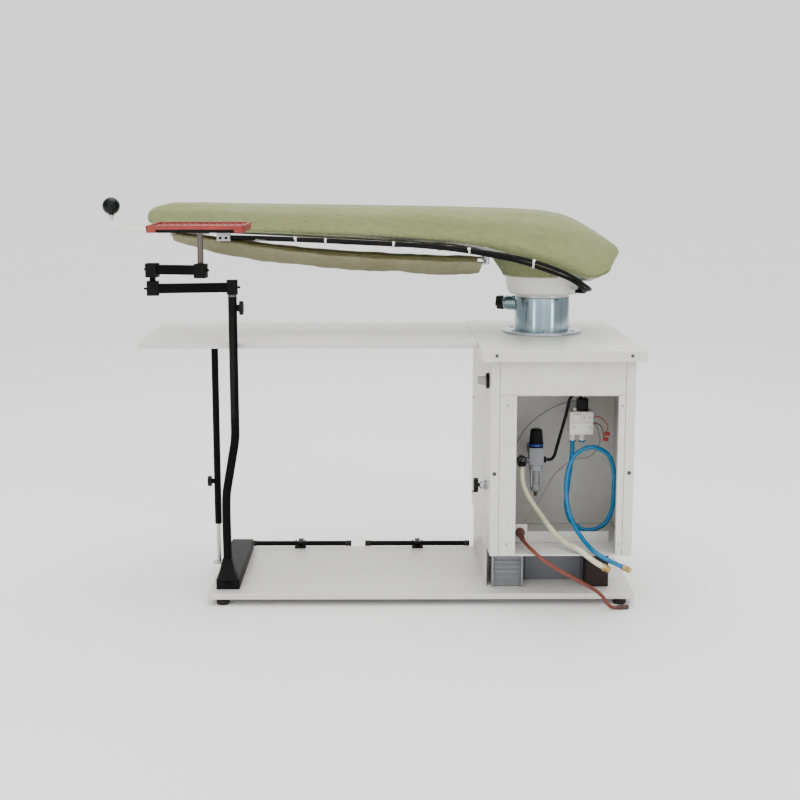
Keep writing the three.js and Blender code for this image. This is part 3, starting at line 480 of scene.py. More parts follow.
# -------- cords, hoses and lines
BLUE_ROUTE = [
    (461, 105, 348.5), (461, 105, 325), (457, 103, 285), (452, 100, 245), (449, 97, 205), (461, 93, 166),
    (497.5, 89, 147), (533, 84, 162), (549, 79, 199), (551, 74, 244), (549, 70, 289), (534, 66, 326),
    (498, 62, 342), (463, 60, 326), (447, 62, 287), (444, 60, 240), (449, 44, 200), (463, 14, 168),
    (481, -20, 145), (496, -46, 134), (514, -54, 124), (536, -55, 113), (552, -54, 105),
]
CREAM_ROUTE = [
    (348, 90, 292), (348, 86, 275), (351, 84, 252), (364, 80, 224), (390, 60, 188), (416, 25, 158),
    (440, -8, 143), (461, -34, 138), (479, -52, 127), (497, -60, 115), (510, -63, 108),
]
BLACK_ROUTE = [
    (404.5, 110, 304), (414, 110, 304), (421, 108, 312), (427, 106, 335), (436, 104, 370), (444, 102, 402),
    (449, 100, 426), (453, 98, 444), (464, 100, 454), (474, 104, 453), (476.5, 106, 448), (476.5, 106, 443.9),
]
LEAD_ROUTE = [
    (343, 41, 152), (343, 28, 151.5), (345, 8, 148), (352, -16, 142), (364, -38, 134.5), (380, -54, 123),
    (400, -60, 110), (424, -61, 95), (450, -58, 80), (476, -52, 64), (500, -45, 48), (516, -38, 32),
    (526, -34, 17), (535, -31, 7.5), (543, -29, 5.5), (549, -28, 5.5),
]
UPPER_LINE = [
    (-300, -62, 793), (-291, -62, 793), (-276, -67, 793), (-142, -95, 790.5), (0, -108, 784.5),
    (110, -118, 779.5), (200, -128, 772.5), (270, -140, 764), (340, -147, 752), (400, -147, 735),
    (450, -142, 714), (482, -124, 693), (498, -107, 681.5), (502, -88, 677), (495, -70, 675), (481, -57, 675),
]
LOWER_LINE = [
    (-300, -53, 789), (-291, -53, 789), (-276, -57, 789), (-142, -86, 786.5), (0, -99, 780.5),
    (110, -109, 775.5), (200, -119, 767.5), (270, -132, 757), (340, -140, 743), (400, -140, 724),
    (450, -134, 704.5), (477, -114, 687), (489, -100, 678), (491, -87, 672.5), (486, -75.5, 671),
    (474.2, -64.3, 671),
]


def from_y(start, route):
    """A route whose y is counted from the front edge or from the board's centreline."""
    return [(x, start + y, z) for x, y, z in route]


def cord(name, node, route, radius, material):
    points = smooth_route(route)
    curve = bpy.data.curves.new(name, "CURVE")
    curve.dimensions = "3D"
    curve.bevel_depth = radius * MM
    curve.bevel_resolution = 5
    curve.use_fill_caps = True
    spline = curve.splines.new("POLY")
    spline.points.add(len(points) - 1)
    for point, place in zip(spline.points, points):
        point.co = (*place, 1)
    curve.materials.append(MAT[material])
    obj = add_object(name, curve)
    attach(obj, BODIES[node])
    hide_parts(node)


def end_piece(name, node, route, stages, material):
    """A fitting in line with the end of a hose: stages are (from, to, radius, sides) in millimetres."""
    end, before = mm(*route[-1]), mm(*route[-2])
    return turned(name, material, [(rounded(radius, start, stop, 0.5), end / MM, end - before, count)
                                   for start, stop, radius, count in stages], replaces=node)


def make_cords():
    blue, cream = from_y(FRONT, BLUE_ROUTE), from_y(FRONT, CREAM_ROUTE)
    lead = from_y(FRONT, LEAD_ROUTE)
    blue_end = end_piece("blue_hose_end", "blue_hose_fitting", blue, [
        (0.3, 10, 7.2, 6), (10, 13, 5.2, 24), (13, 15.5, 6.6, 24), (15.5, 21.5, 5.6, 24)], "brass")
    cream_end = end_piece("cream_hose_end", "cream_hose_fitting", cream, [
        (0.3, 8, 8.2, 6), (8, 11, 6, 24), (11, 17.5, 7, 24)], "brass")
    lead_end = end_piece("lead_end", "lead_connector", lead, [
        (0.3, 9, 5, 32), (9, 11, 4.6, 32), (11, 22, 5.3, 32), (22, 25.5, 4.8, 32)], "brown_rubber")
    cord("blue_air_hose", "blue_hose", blue, 5, "blue")
    cord("cream_water_hose", "cream_hose", cream, 6, "cream_hose")
    black = from_y(FRONT, BLACK_ROUTE)
    cord("black_air_hose", "black_hose", black, 3.5, "black_hose")
    cord("brown_power_lead", "power_lead", lead, 4, "lead")
    upper, lower = from_y(BOARD_Y, UPPER_LINE), from_y(BOARD_Y, LOWER_LINE)
    cord("upper_air_line", "air_line_upper", upper, 4, "black_hose")
    cord("lower_air_line", "air_line_lower", lower, 4, "black_hose")
    relief = smooth_route(lead)[:9]
    bm = bmesh.new()
    add_tube(bm, relief, lambda t: (7.2 - 2.4 * t + 0.35 * cos(t * 50)) * MM, 24)
    finish("lead_strain_relief", bm, "grommet", sharp=40)


make_cords()


# -------- fabric
STATIONS = [  # x, half width, top and lower edge of the padded board
    (-493, 20, 852, 834), (-488, 42, 858, 826), (-474, 58, 863, 820), (-450, 68, 865.5, 815),
    (-380, 78, 865.5, 808), (-276, 90, 863, 803), (-142, 104, 861, 797), (0, 117, 859, 791),
    (110, 127, 857, 786), (200, 134, 855, 779), (270, 138, 852.5, 768), (340, 141, 850.5, 748),
    (400, 141, 847, 729), (450, 138, 840, 711), (488, 132, 826, 698), (514, 125, 813, 699),
    (540, 114, 798, 710), (557, 102, 787, 737), (568, 88, 779, 758),
]


COVER_INSET = 4.5  # how far inside its finished size the cover starts, before it swells
UNDERCUT = 0.97  # width of the board's lower half against its upper half
HEM_HEIGHT = 5


def table_at(table, x):
    """The values of a table at a place between its rows, which start with their x."""
    for a, b in zip(table, table[1:]):
        if x <= b[0]:
            t = max(0.0, (x - a[0]) / (b[0] - a[0]))
            return [u + (v - u) * t for u, v in zip(a[1:], b[1:])]
    return list(table[-1][1:])


def along_board(x):
    """Half width, top and lower edge of the board at a place along it."""
    return table_at(STATIONS, x)


def board_form(shrink):
    """The padded board's closed form, a little inside its finished size."""
    bm = bmesh.new()
    sides = 48
    rings = []
    for a, b in zip(STATIONS, STATIONS[1:] + [None]):
        count = max(1, round((b[0] - a[0]) / 14)) if b else 1
        for k in range(count):
            x = a[0] + (b[0] - a[0]) * k / count if b else a[0]
            half, top, low = along_board(x)
            inset = min(shrink, half * 0.2)
            ring = []
            for i in range(sides):
                turn = 2 * pi * (i + 0.5) / sides
                c, s = cos(turn), sin(turn)
                y = copysign(abs(c) ** 0.42, c) * (half - inset) * (UNDERCUT if s < 0 else 1)
                z = (top - inset + low) / 2 + copysign(abs(s) ** 0.42, s) * (top - inset - low) / 2
                ring.append(bm.verts.new(mm(x, BOARD_Y + y, z)))
            rings.append(ring)
    skin(bm, rings)
    bm.faces.new(rings[0])
    bm.faces.new(rings[-1])
    bmesh.ops.recalc_face_normals(bm, faces=bm.faces)
    return bm


def apply_all(obj):
    graph = bpy.context.evaluated_depsgraph_get()
    mesh = bpy.data.meshes.new_from_object(obj.evaluated_get(graph))
    obj.modifiers.clear()
    obj.data = mesh


CLOTH = {
    "use_pressure": True, "uniform_pressure_force": 4.0, "mass": 0.3, "tension_stiffness": 20,
    "compression_stiffness": 12, "bending_stiffness": 0.4, "vertex_group_mass": "pins",
}


def inflate(obj, cap, frames=20):
    """Swells the cover as cloth over foam, with its lower edge held, and by no more than the cap."""
    rest = [v.co.copy() for v in obj.data.vertices]
    held = [i for i, p in enumerate(rest) if p.z / MM < along_board(p.x / MM)[2] + HEM_HEIGHT]
    obj.vertex_groups.new(name="pins").add(held, 1.0, "REPLACE")
    cloth = obj.modifiers.new("cloth", "CLOTH")
    for key, value in CLOTH.items():
        setattr(cloth.settings, key, value)
    cloth.settings.effector_weights.gravity = 0
    cloth.point_cache.frame_start = 1
    cloth.point_cache.frame_end = frames
    scene = bpy.context.scene
    for step in range(1, frames + 1):
        scene.frame_set(step)
    graph = bpy.context.evaluated_depsgraph_get()
    moved = [v.co.copy() for v in obj.evaluated_get(graph).data.vertices]
    obj.modifiers.remove(cloth)
    scene.frame_set(1)
    for vertex, start, end in zip(obj.data.vertices, rest, moved):
        shift = end - start
        if shift.length > cap:
            shift *= cap / shift.length
        vertex.co = start + shift


def pucker(p, normal):
    """Small folds of the cover: gathers above its drawn hem and slack where it turns down over the end."""
    half, top, low = along_board(p.x / MM)
    rise = p.z / MM - low
    away = abs(p.y / MM - BOARD_Y)
    round_it = p.x / MM if away > half * 0.8 else p.y / MM
    gather = max(0.0, 1 - rise / 30) if rise > 0 else 1.0
    folds = sin(round_it / 3.1 + 3 * noise.noise(p * 30)) * gather ** 2
    bend = exp(-(((p.x / MM - 455) / 70) ** 2)) * max(0.0, abs(normal.y))
    slack = noise.noise(Vector((p.x * 26, p.y * 4, p.z * 7 + p.x * 9))) * bend
    broad = noise.noise(p * 9) * 0.6
    return normal * ((folds * 1.1 + slack * 2.6 + broad) * MM)


def make_cover():
    obj = mesh_object("board_cover", board_form(COVER_INSET))
    remesh = obj.modifiers.new("remesh", "REMESH")
    remesh.mode = "VOXEL"
    remesh.voxel_size = 0.0055
    relax = obj.modifiers.new("relax", "SMOOTH")
    relax.factor = 0.5
    relax.iterations = 3
    apply_all(obj)
    inflate(obj, 5.5 * MM)
    subdivide = obj.modifiers.new("fine", "SUBSURF")
    subdivide.levels = subdivide.render_levels = 1
    apply_all(obj)
    normals = [v.normal.copy() for v in obj.data.vertices]
    for vertex, normal in zip(obj.data.vertices, normals):
        vertex.co += pucker(vertex.co, normal)
    obj.data.shade_smooth()
    obj.data.materials.clear()
    obj.data.materials.append(MAT["cover"])
    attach(obj, "board")
    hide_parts("board_cushion")


def board_outline(step=6):
    """Points round the cover's lower corner, in metres."""
    near, far = [], []
    x = STATIONS[0][0] + 8
    while x < 548:
        half, top, low = along_board(x)
        side = (half - COVER_INSET) * UNDERCUT * 0.87
        z = low + 0.065 * (top - low) - 0.6
        near.append(mm(x, BOARD_Y - side, z))
        far.append(mm(x, BOARD_Y + side, z))
        x += step
    return near + far[::-1]


def make_hem():
    """The drawn hem round the cover's lower edge, with its cord's gathers."""
    bm = bmesh.new()
    add_tube(bm, board_outline(), 2.2 * MM, 10, closed=True)
    for vertex in bm.verts:
        vertex.co += Vector((0, 0, 1)) * (0.5 * MM * sin(vertex.co.x * 1500))
    finish("cover_hem", bm, "hem", "board", 60)


# radius and height of the gathered skirt round the neck
SKIRT = [(90.5, 704), (93, 708), (98, 715.5), (104, 724), (110.5, 733), (118, 744.5), (126, 755.5)]


def make_neck_cover():
    """The gathered skirt of the cover where it is drawn round the neck."""
    bm = bmesh.new()
    count = 180
    rows = []
    for radius, height in SKIRT:
        row = []
        for k in range(count + 1):
            turn = radians(75 + 210 * k / count)
            depth = (756 - height) / 52
            fold = sin(turn * 44 + 2.5 * noise.noise(Vector((turn * 5, 0, 1)))) * (0.4 + depth)
            r = radius - 1.2 + 0.9 * fold
            row.append(bm.verts.new(mm(COLUMN + r * cos(turn), BOARD_Y + r * sin(turn), height)))
        rows.append(row)
    skin(bm, rows, closed=False)
    bmesh.ops.solidify(bm, geom=bm.faces, thickness=1.5 * MM)
    # the skirt's lighter fabric is painted light on the cover's own cloth
    obj = finish("neck_cover_cloth", bm, "skirt", "board", 70, replaces="neck_cover")
    hem = bmesh.new()
    ring = [mm(COLUMN + 90.2 * cos(t), BOARD_Y + 90.2 * sin(t), 704.8)
            for t in (radians(75 + 210 * k / 90) for k in range(91))]
    add_tube(hem, ring, 2.2 * MM, 10)
    finish("neck_cover_hem", hem, "hem", "board", 60)


SLING = [  # x, half width, rim and sag of the catch cloth
    (-435, 34, 793, 10), (-400, 44, 788, 18), (-350, 54, 781, 25), (-255, 68, 768, 31), (-144, 80, 754, 28),
    (-33, 85, 745, 30), (78, 86, 739, 28), (150, 86, 736, 31), (254, 84, 733, 28), (276, 84, 732, 24),
]


def sling_profile(half, rim, sag):
    """Across the sling: over the far wire, down through the belly, and up over the near wire."""
    wire = rim + 2.8
    roll = [(half - 3 + 4.1 * cos(a), wire + 4.1 * sin(a))
            for a in (radians(v) for v in range(200, -30, -23))]
    belly = []
    for k in range(1, 40):
        across = 1 - k / 20
        belly.append((across * (half + 0.6), rim - sag * (1 - abs(across) ** 3)))
    return roll + belly + [(-y, z) for y, z in reversed(roll)]


def make_catch_cloth():
    bm = bmesh.new()
    start, stop, count = -434, 275, 150
    rows = []
    for i in range(count + 1):
        share = i / count
        profile = sling_profile(*table_at(SLING, start + (stop - start) * share))
        row = []
        for k, (y, z) in enumerate(profile):
            across = abs(2 * k / (len(profile) - 1) - 1)
            slant = 20 * (1 - across ** 3) * max(0.0, (share - 0.8) / 0.2)
            x = start + (stop - start) * share - slant
            calm = max(0.0, 1 - across ** 6)
            crease = noise.noise(Vector((x * 0.02, y * 0.012, 4.0))) * 2.4
            ripple = noise.noise(Vector((x * 0.055, y * 0.02, 9.0))) * 1.3
            row.append(bm.verts.new(mm(x, BOARD_Y + y, z + (crease + ripple) * calm)))
        rows.append(row)
    skin(bm, rows, closed=False)
    bmesh.ops.solidify(bm, geom=bm.faces, thickness=1.1 * MM)
    obj = finish("catch_cloth_sling", bm, "catch", "board", 70, replaces="catch_cloth")


make_cover()
make_hem()
make_neck_cover()
make_catch_cloth()


# -------- CAD nodes with rounded edges
SOFTENED = {
    "white": {"base_plate": 2.2, "cabinet_left_panel": 0.9, "cabinet_rear_shell": 0.9, "cabinet_base": 0.9,
              "compartment_wall": 0.5, "tabletop": 1.4, "shelf": 1.3},
    "neck": {"board_neck": 1.5},
    "steel": {"board_pan": 0.8, "shelf_leg_rod": 0.4, "catch_cloth_frame": 0.4, "swivel_bearing": 0.6,
              "suction_duct": 0.5},
    "black": {"rest_stand": 0.9, "lower_arm": 1.0, "upper_arm": 1.0, "shelf_leg_tube": 0.5, "rest_pan": 1.2,
              "pedal_left_bracket": 0.4, "pedal_right_bracket": 0.4, "pedal_left": 1.2, "pedal_right": 1.2},
    "rod": {"rest_rod": 0.5, "arm_post": 0.5},
    "pale": {"handle_bar": 0.8},
    "grey": {"vacuum_blower": 3.0},
    "rubber": {"cabinet_foot_right": 2.0, "base_foot_front_left": 0.6, "base_foot_front_right": 0.6,
               "base_foot_rear_left": 0.6, "base_foot_rear_right": 0.6},
    "plastic": {"solenoid_coil": 1.5, "pedestal_clamp_knob": 1.6, "leg_clamp_knob": 1.2,
                "shelf_leg_knob": 1.0, "side_knob": 1.2},
    "body": {"filter_regulator": 1.4},
    "cream": {"valve_block": 1.5},
}
for paint, nodes in SOFTENED.items():
    for node_name, edge in nodes.items():
        soften(node_name, paint, edge)


# -------- pedestal
def make_pedestal():
    centre = (COLUMN, BOARD_Y, 0)
    clamp = radians(-25)  # its boss points left and backwards
    (_, _, bottom), (_, _, top) = box_mm("pedestal_column")
    tube = [(50.5, bottom), (62, bottom), (62.5, bottom + 0.6), (62.5, top - 1.2), (62, top - 0.3), (61, top),
            (51, top), (50.5, top - 0.5), (50.5, bottom)]
    boss = [(0, 1), (5.6, 1), (6.4, 0), (14.5, 0), (15.6, 1.2), (17.3, 8), (17.3, 40), (0, 40)]
    boss_end = (COLUMN - 92 * cos(clamp), BOARD_Y - 92 * sin(clamp), 636)
    column = [(tube, centre, UP, 128), (boss, boss_end, (cos(clamp), sin(clamp), 0), 64)]
    turned("pedestal_column_piece", "zinc", column, replaces="pedestal_column")
    (_, _, bottom), (_, _, top) = box_mm("pedestal_flange")
    plate = [(50.5, bottom), (89.2, bottom), (90, bottom + 0.8), (90, top - 1), (89, top), (50.5, top),
             (50.5, bottom)]
    turned("pedestal_flange_piece", "flange", [(plate, centre, UP, 128)], replaces="pedestal_flange")
    around = [radians(60 * k + 30) for k in range(6)]
    places = [(COLUMN + 77 * cos(a), BOARD_Y + 77 * sin(a), top) for a in around]
    screws("flange_screws", "steel", UP, 5.5, places)


SCREW_DOME = [(0, 0), (1, 0), (1, 0.22), (0.86, 0.42), (0.6, 0.54), (0.42, 0.56)]
SCREW_SOCKET = [(0.43, 0.56), (0.38, 0.5), (0.36, 0.18), (0, 0.18)]


def add_screw(bm, centre, axis, radius):
    """A button-head screw with a hexagon socket, standing on a face."""
    for profile, sides in ((SCREW_DOME, 24), (SCREW_SOCKET, 6)):
        add_lathe(bm, [(r * radius, h * radius) for r, h in profile], centre, axis, sides)


def screws(name, material, axis, radius, places, body="stand"):
    """Screws as one piece; a place may end with its own radius and axis."""
    bm = bmesh.new()
    for x, y, z, *own in places:
        own_radius, own_axis = own or (radius, axis)
        add_screw(bm, (x, y, z), own_axis, own_radius)
    finish(name, bm, material, body)


make_pedestal()


# -------- cabinet details
def panel_at(y):
    """Outer face of the cabinet's left panel, which stands further right at its front."""
    (x0, y0, _), (x1, y1, _) = box_mm("cabinet_left_panel")
    return x0 + (x1 - 3 - x0) * (y1 - y) / (y1 - y0)


def make_front():
    """The cabinet's front: side strips, stiles and header as separate folded plates with fine seams."""
    (x0, y0, z0), (x1, y1, z1) = box_mm("cabinet_front_frame")
    left, right, sill, head = 324, 540, 127, 475
    bm = bmesh.new()
    for a, b in ((x0, 287.6), (554.4, x1)):
        add_box(bm, (a, y0, z0), (b, y1, z1), 1.1)
    add_box(bm, (288.4, y0 + 0.8, z0), (left, y1, head - 0.4), 0.7)
    add_box(bm, (right, y0 + 0.8, z0), (553.6, y1, head - 0.4), 0.7)
    add_box(bm, (288.4, y0 + 0.4, head + 0.4), (553.6, y1, z1), 0.9)
    add_box(bm, (left - 1, y0 + 0.8, z0), (right + 1, y1, sill), 0.5)
    for a, b in ((left - 1.6, left), (right, right + 1.6)):
        add_box(bm, (a, y0 + 1, sill), (b, y0 + 16, head), 0.4)
    add_box(bm, (left, y0 + 1, head - 1.6), (right, y0 + 16, head), 0.4)
    finish("cabinet_front_plates", bm, "white", replaces="cabinet_front_frame")


def make_screws():
    front, top_front = box_mm("cabinet_front_frame")[0][1], box_mm("tabletop")[0][1]
    back = box_mm("cabinet_rear_shell")[1][1]
    side, y = panel_at(FRONT + 400), FRONT + 400
    screws("panel_screws", "rod", FORWARD, 3.6, [
        (279, top_front, 562), (562, top_front, 562), (278, front, 305, 4.2, FORWARD),
        (565, front, 307, 4.2, FORWARD), (side, y, 395, 3.2, LEFT), (side, y, 520, 3.2, LEFT),
        (side, y, 160, 3.2, LEFT)])
    screws("stile_screws", "steel", FORWARD, 3, [(x, front + 0.8, z) for z in (452, 150) for x in (306, 547)])
    screws("rear_screws", "steel", BACK, 3.6, [(x, back, z) for x in (275, 558) for z in (150, 340, 530)])


def make_vent_block():
    """The grey louvred block under the cabinet's front left corner."""
    (x0, y0, z0), (x1, y1, z1) = box_mm("cabinet_foot_left")
    bm = bmesh.new()
    add_box(bm, (x0, y0 + 8, z0), (x1, y1, z1), 1.0)
    for x in (x0, x1 - 4):
        add_box(bm, (x, y0, z0), (x + 4, y0 + 9, z1), 0.6)
    count = 9
    pitch = (z1 - z0) / count
    for k in range(count):
        z = z0 + pitch * k
        slat = bmesh.new()
        add_box(slat, (x0 + 4, y0 + 1.5, z + 3.2), (x1 - 4, y0 + 9, z + 5.0), 0.4)
        turn = Matrix.Translation(mm(0, y0 + 5, z + 4)) @ Matrix.Rotation(radians(-32), 4, "X")
        turn = turn @ Matrix.Translation(-mm(0, y0 + 5, z + 4))
        bmesh.ops.transform(slat, matrix=turn, verts=slat.verts)
        merge(bm, slat)
    finish("vent_block", bm, "grey", replaces="cabinet_foot_left")


def make_gland_panel():
    """A recessed plate low in the compartment, that the power lead's gland sits on."""
    bm = bmesh.new()
    (left, front, _), (right, _, _) = box_mm("cable_gland")
    add_box(bm, (right + 1, front + 17, 127.4), (539.5, front + 18.5, 152), 0.4)
    add_box(bm, (262, front + 17, 127.4), (left - 1, front + 18.5, 190), 0.4)
    finish("gland_plate", bm, "white")


def make_gland():
    """The power lead's gland: a round brown grommet with a nut, in a folded white bracket."""
    (left, front, bottom), (right, _, top) = box_mm("cable_gland")
    x, y, z = (left + right) / 2, front + 12, 152
    bracket = bmesh.new()
    add_box(bracket, (x - 16, y, bottom), (x + 16, y + 2, top), 0.5)
    add_box(bracket, (x - 16, y, bottom), (x + 16, y + 26, bottom + 2), 0.5)
    finish("gland_bracket", bracket, "white", replaces="cable_gland")
    sleeve = [(4.4, -12), (7.6, -12), (9.2, -10.6), (10, -8), (10.6, -5), (10.6, -0.1), (4.4, -0.1),
              (4.4, -12)]
    grommet = [(sleeve, (x, y, z), BACK, 48), (rounded(10, 2.1, 7, 0.5), (x, y, z), BACK, 6)]
    turned("gland_grommet", "grommet", grommet, replaces="cable_gland")


def make_plinth_shade():
    """Dark boards that close the plinth's front, behind the two blocks; their dark colour is painted shade
    for the shadow under the cabinet.
    """
    plinth = FRONT + 110
    bm = bmesh.new()
    add_box(bm, (290.5, plinth - 5.5, 28.6), (535.5, plinth - 0.6, 123.4), 0.8)
    for x in (360, 480):
        add_box(bm, (x, plinth - 9, 28.6), (x + 4, plinth - 5.4, 123.4), 0.5)
    finish("plinth_painted_shade", bm, "shade")


make_plinth_shade()
make_front()
make_screws()
make_vent_block()
make_gland_panel()
make_gland()


# -------- knobs, switch and ball
def make_regulator_knob():
    x, y = middle_mm("regulator_knob", 0, 1)
    place = (x, y, box_mm("regulator_knob")[0][2])

    def ribs(turn):
        return 1 + 0.028 * cos(turn * 24)

    skirt = [(0, 0), (15, 0), (15.6, 1), (15.6, 10), (14.6, 11.5), (14.2, 12)]
    cap = [(13.8, 12), (14.6, 13), (13.2, 34), (12.2, 38.5), (10.2, 40.5), (0, 41)]
    turned("regulator_knob_piece", "plastic", [(skirt, place, UP, 144, ribs), (cap, place, UP, 144, ribs)],
           "regulator_cap", 40, "regulator_knob")
    ring = [(15.9, 3), (16.3, 3.4), (16.3, 6.8), (15.9, 7.2), (15.2, 7), (15.2, 3.2), (15.9, 3)]
    turned("regulator_ring", "ring", [(ring, place, UP, 64)], "regulator_cap", 40)


def make_bowl():
    x, y = middle_mm("filter_bowl", 0, 1)
    place = (x, y, 0)
    shell = [(0, 231), (8, 231.5), (11, 234), (12.2, 240), (13.6, 276), (14.9, 279), (14.9, 293), (13.4, 293),
             (12.4, 276), (10.8, 241), (8, 236), (0, 235)]
    turned("filter_bowl_piece", "bowl", [(shell, place, UP, 64)], sharp=35, replaces="filter_bowl")
    collar = [(15.2, 281), (15.8, 282), (15.8, 292.5), (15.2, 293.5), (14.95, 293), (14.95, 281.5),
              (15.2, 281)]
    guard = bmesh.new()
    add_lathe(guard, collar, place, UP, 64)
    for k in range(4):
        turn = radians(90 * k + 45)
        cx, cy = x + 14.6 * cos(turn), y + 14.6 * sin(turn)
        add_box(guard, (cx - 1.6, cy - 1.6, 244), (cx + 1.6, cy + 1.6, 283), 0.6)
    finish("bowl_guard", guard, "grey")
    turned("filter_element", "white_plastic", [(rounded(5, 250, 292), place, UP, 24),
                                               (rounded(8, 252, 256), place, UP, 24)])
    drain = [(0, 221), (3.4, 221), (4, 222), (4, 229), (6.2, 230), (6.2, 232.4), (0, 232.6)]
    turned("bowl_drain", "brown_rubber", [(drain, place, UP, 24)])


def make_gauge():
    """The regulator's round gauge: a black bezel, a dark face with white ticks, and a pointer."""
    left, front, _ = box_mm("filter_regulator")[0]
    x, y, z = left + 11, front - 4.2, 304
    case = [(11.2, -2), (11.6, -1), (11.6, 6), (0, 6)]
    bezel = [(11.2, -2), (9.8, -2), (9.8, 1), (11.2, 1), (11.2, -2)]
    turned("gauge_case", "plastic", [(profile, (x, y + 4, z), BACK, 64) for profile in (case, bezel)])
    face = [(9.9, 0), (9.9, 0.8), (0, 0.8), (0, 0), (9.9, 0)]
    turned("gauge_face", "smoke", [(face, (x, y + 3, z), BACK, 48)])
    marks = bmesh.new()
    for k in range(9):
        turn = radians(225 - 33.75 * k)
        place = (x + 7.9 * cos(turn), y + 3, z + 7.9 * sin(turn))
        add_lathe(marks, rounded(0.45, 0, 0.5, 0.1), place, FORWARD, 8)
    needle = [mm(x - 2, y + 2.4, z - 2.2), mm(x + 5.2, y + 2.4, z + 5.4)]
    add_tube(marks, needle, lambda t: (0.6 - 0.4 * t) * MM, 6)
    add_lathe(marks, rounded(1.3, 0, 1, 0.2), (x, y + 3, z), FORWARD, 16)
    finish("gauge_marks", marks, "dial")


def make_ball():
    x, y = middle_mm("ball_knob", 0, 1)
    radius = 20.0
    z = box_mm("ball_knob")[1][2] - radius
    arc = [(radius * sin(a), -radius * cos(a)) for a in (radians(14 + 166 * k / 30) for k in range(30))]
    ball = [(0, -radius + 0.6), (4.2, -radius + 0.5)] + arc + [(0, radius)]
    turned("ball_knob_piece", "ball", [(ball, (x, y, z), UP, 64)], "board", 35, "ball_knob")
    collar = [(0, 0), (6.4, 0), (7, 0.8), (6.6, 3.4), (5, 4.6), (0, 4.6)]
    turned("ball_collar", "pale", [(collar, (x, y, 835.2), UP, 32)], "board", 35)


def make_switch():
    """A round black plate on the left panel with a pale tapered knob."""
    y, z = middle_mm("rotary_switch", 1, 2)
    face = box_mm("rotary_switch")[0][0] + 24
    bm = bmesh.new()
    knob = [(0, 6.2), (11.5, 6.2), (11.5, 8), (9.6, 10), (7.6, 22), (6.6, 23.6), (0, 24)]
    add_lathe(bm, knob, (face, y, z), LEFT)
    add_box(bm, (face - 24, y - 1.4, z + 2), (face - 9, y + 1.4, z + 9.6), 0.6)
    finish("switch_knob", bm, "wire", "switch", replaces="rotary_switch")
    plate = [(0, 0.2), (17, 0.2), (17, 4.6), (15.6, 6), (0, 6)]
    turned("switch_plate", "plastic", [(plate, (face, y, z), LEFT, 64)])


def make_side_knob_bush():
    y, z = FRONT + 60, 258
    bush = [(4.3, 0), (11, 0), (11, 3), (9, 4.4), (8, 13), (7, 14.4), (4.3, 14.4), (4.3, 0)]
    turned("side_knob_bush", "steel", [(bush, (panel_at(y) - 0.4, y, z), LEFT, 48)])


make_side_knob_bush()
make_regulator_knob()
make_bowl()
make_gauge()
make_ball()
make_switch()


# -------- valve, fittings and wires
def make_push_fittings():
    """Blue collars where the hoses enter the valve block, and nuts where they enter the regulator."""
    ports = [box_mm("valve_block")[0][0] + 9, box_mm("valve_block")[0][0] + 30]
    y = FRONT + 105
    collar = [(5.1, 0), (7.2, 0), (7.6, 0.8), (7.2, 3.2), (6.2, 3.8), (5.1, 3.6), (5.1, 0)]
    turned("push_in_collars", "blue", [(collar, (x, y, 349), DOWN, 32) for x in ports], sharp=35)
    plug = [(0, 0), (4.6, 0), (5.0, 0.6), (5.0, 3.0), (0, 3.2)]
    turned("spare_port_plug", "plastic", [(plug, (ports[1], y, 348.8), DOWN, 24)], sharp=35)
    inlet = (348, FRONT + 90, 293.5)
    turned("hose_nuts", "plastic", [
        (rounded(7.6, 0, 5.5, 0.5), (box_mm("filter_regulator")[1][0] - 6, FRONT + 110, 304), RIGHT, 6),
        (rounded(9, 0, 6, 0.6), inlet, UP, 6), (rounded(6.5, 5, 11, 0.6), inlet, UP, 24)], sharp=35)


def make_valve_trim():
    (x0, _, _), (x1, _, _) = box_mm("valve_block")
    y = FRONT + 85
    bm = bmesh.new()
    add_box(bm, (x0 + 5, y - 2.0, 372), (x1 - 5, y + 1, 392), 1.2)
    add_box(bm, (x0 + 8, y - 3.2, 396), (x0 + 24, y + 1, 411), 1.0)
    finish("valve_cover", bm, "white_plastic")
    screws("valve_screws", "steel", FORWARD, 2.2, [
        (x0 + 9, y - 2, 382), (x1 - 9, y - 2, 382), (x1 - 20, y, 404, 1.9, FORWARD),
        (x1 - 8, y, 404, 1.9, FORWARD)])
    terminals = bmesh.new()
    for k, z in enumerate((352, 364)):
        add_box(terminals, (528 + 3 * k, FRONT + 96, z - 4), (540 + 3 * k, FRONT + 104, z + 4), 1.0)
    finish("wire_terminals", terminals, "red_wire")


WIRES = {
    "red_wire_upper": ("red_wire", 1.3, 0.003, [
        (500, 98, 398), (514, 94, 404), (528, 96, 396), (538, 98, 380), (534, 100, 366.5)]),
    "red_wire_lower": ("lead", 1.3, 0.003, [
        (498, 98, 388), (512, 92, 390), (524, 95, 380), (528, 98, 366), (531, 100, 354)]),
    "coil_wire": ("wire", 1.4, 0.006, [
        (474, 118, 436), (452, 132, 430), (410, 150, 408), (368, 160, 372), (340, 150, 330), (328, 130, 280),
        (326, 110, 220), (330, 92, 178), (337, 80, 160)]),
    "earth_wire": ("wire", 1.4, 0.006, [
        (498, 122, 396), (520, 140, 372), (528, 152, 330), (508, 160, 300), (470, 158, 292), (430, 152, 262),
        (400, 140, 215), (372, 110, 180), (352, 84, 162)]),
}


def make_wires():
    """Short red wires at the valve's coil, and thin ones behind the hoses."""
    for name, (paint, radius, step, route) in WIRES.items():
        bm = bmesh.new()
        add_tube(bm, smooth_route(from_y(FRONT, route), step), radius * MM, 8)
        finish(name, bm, paint, sharp=40)


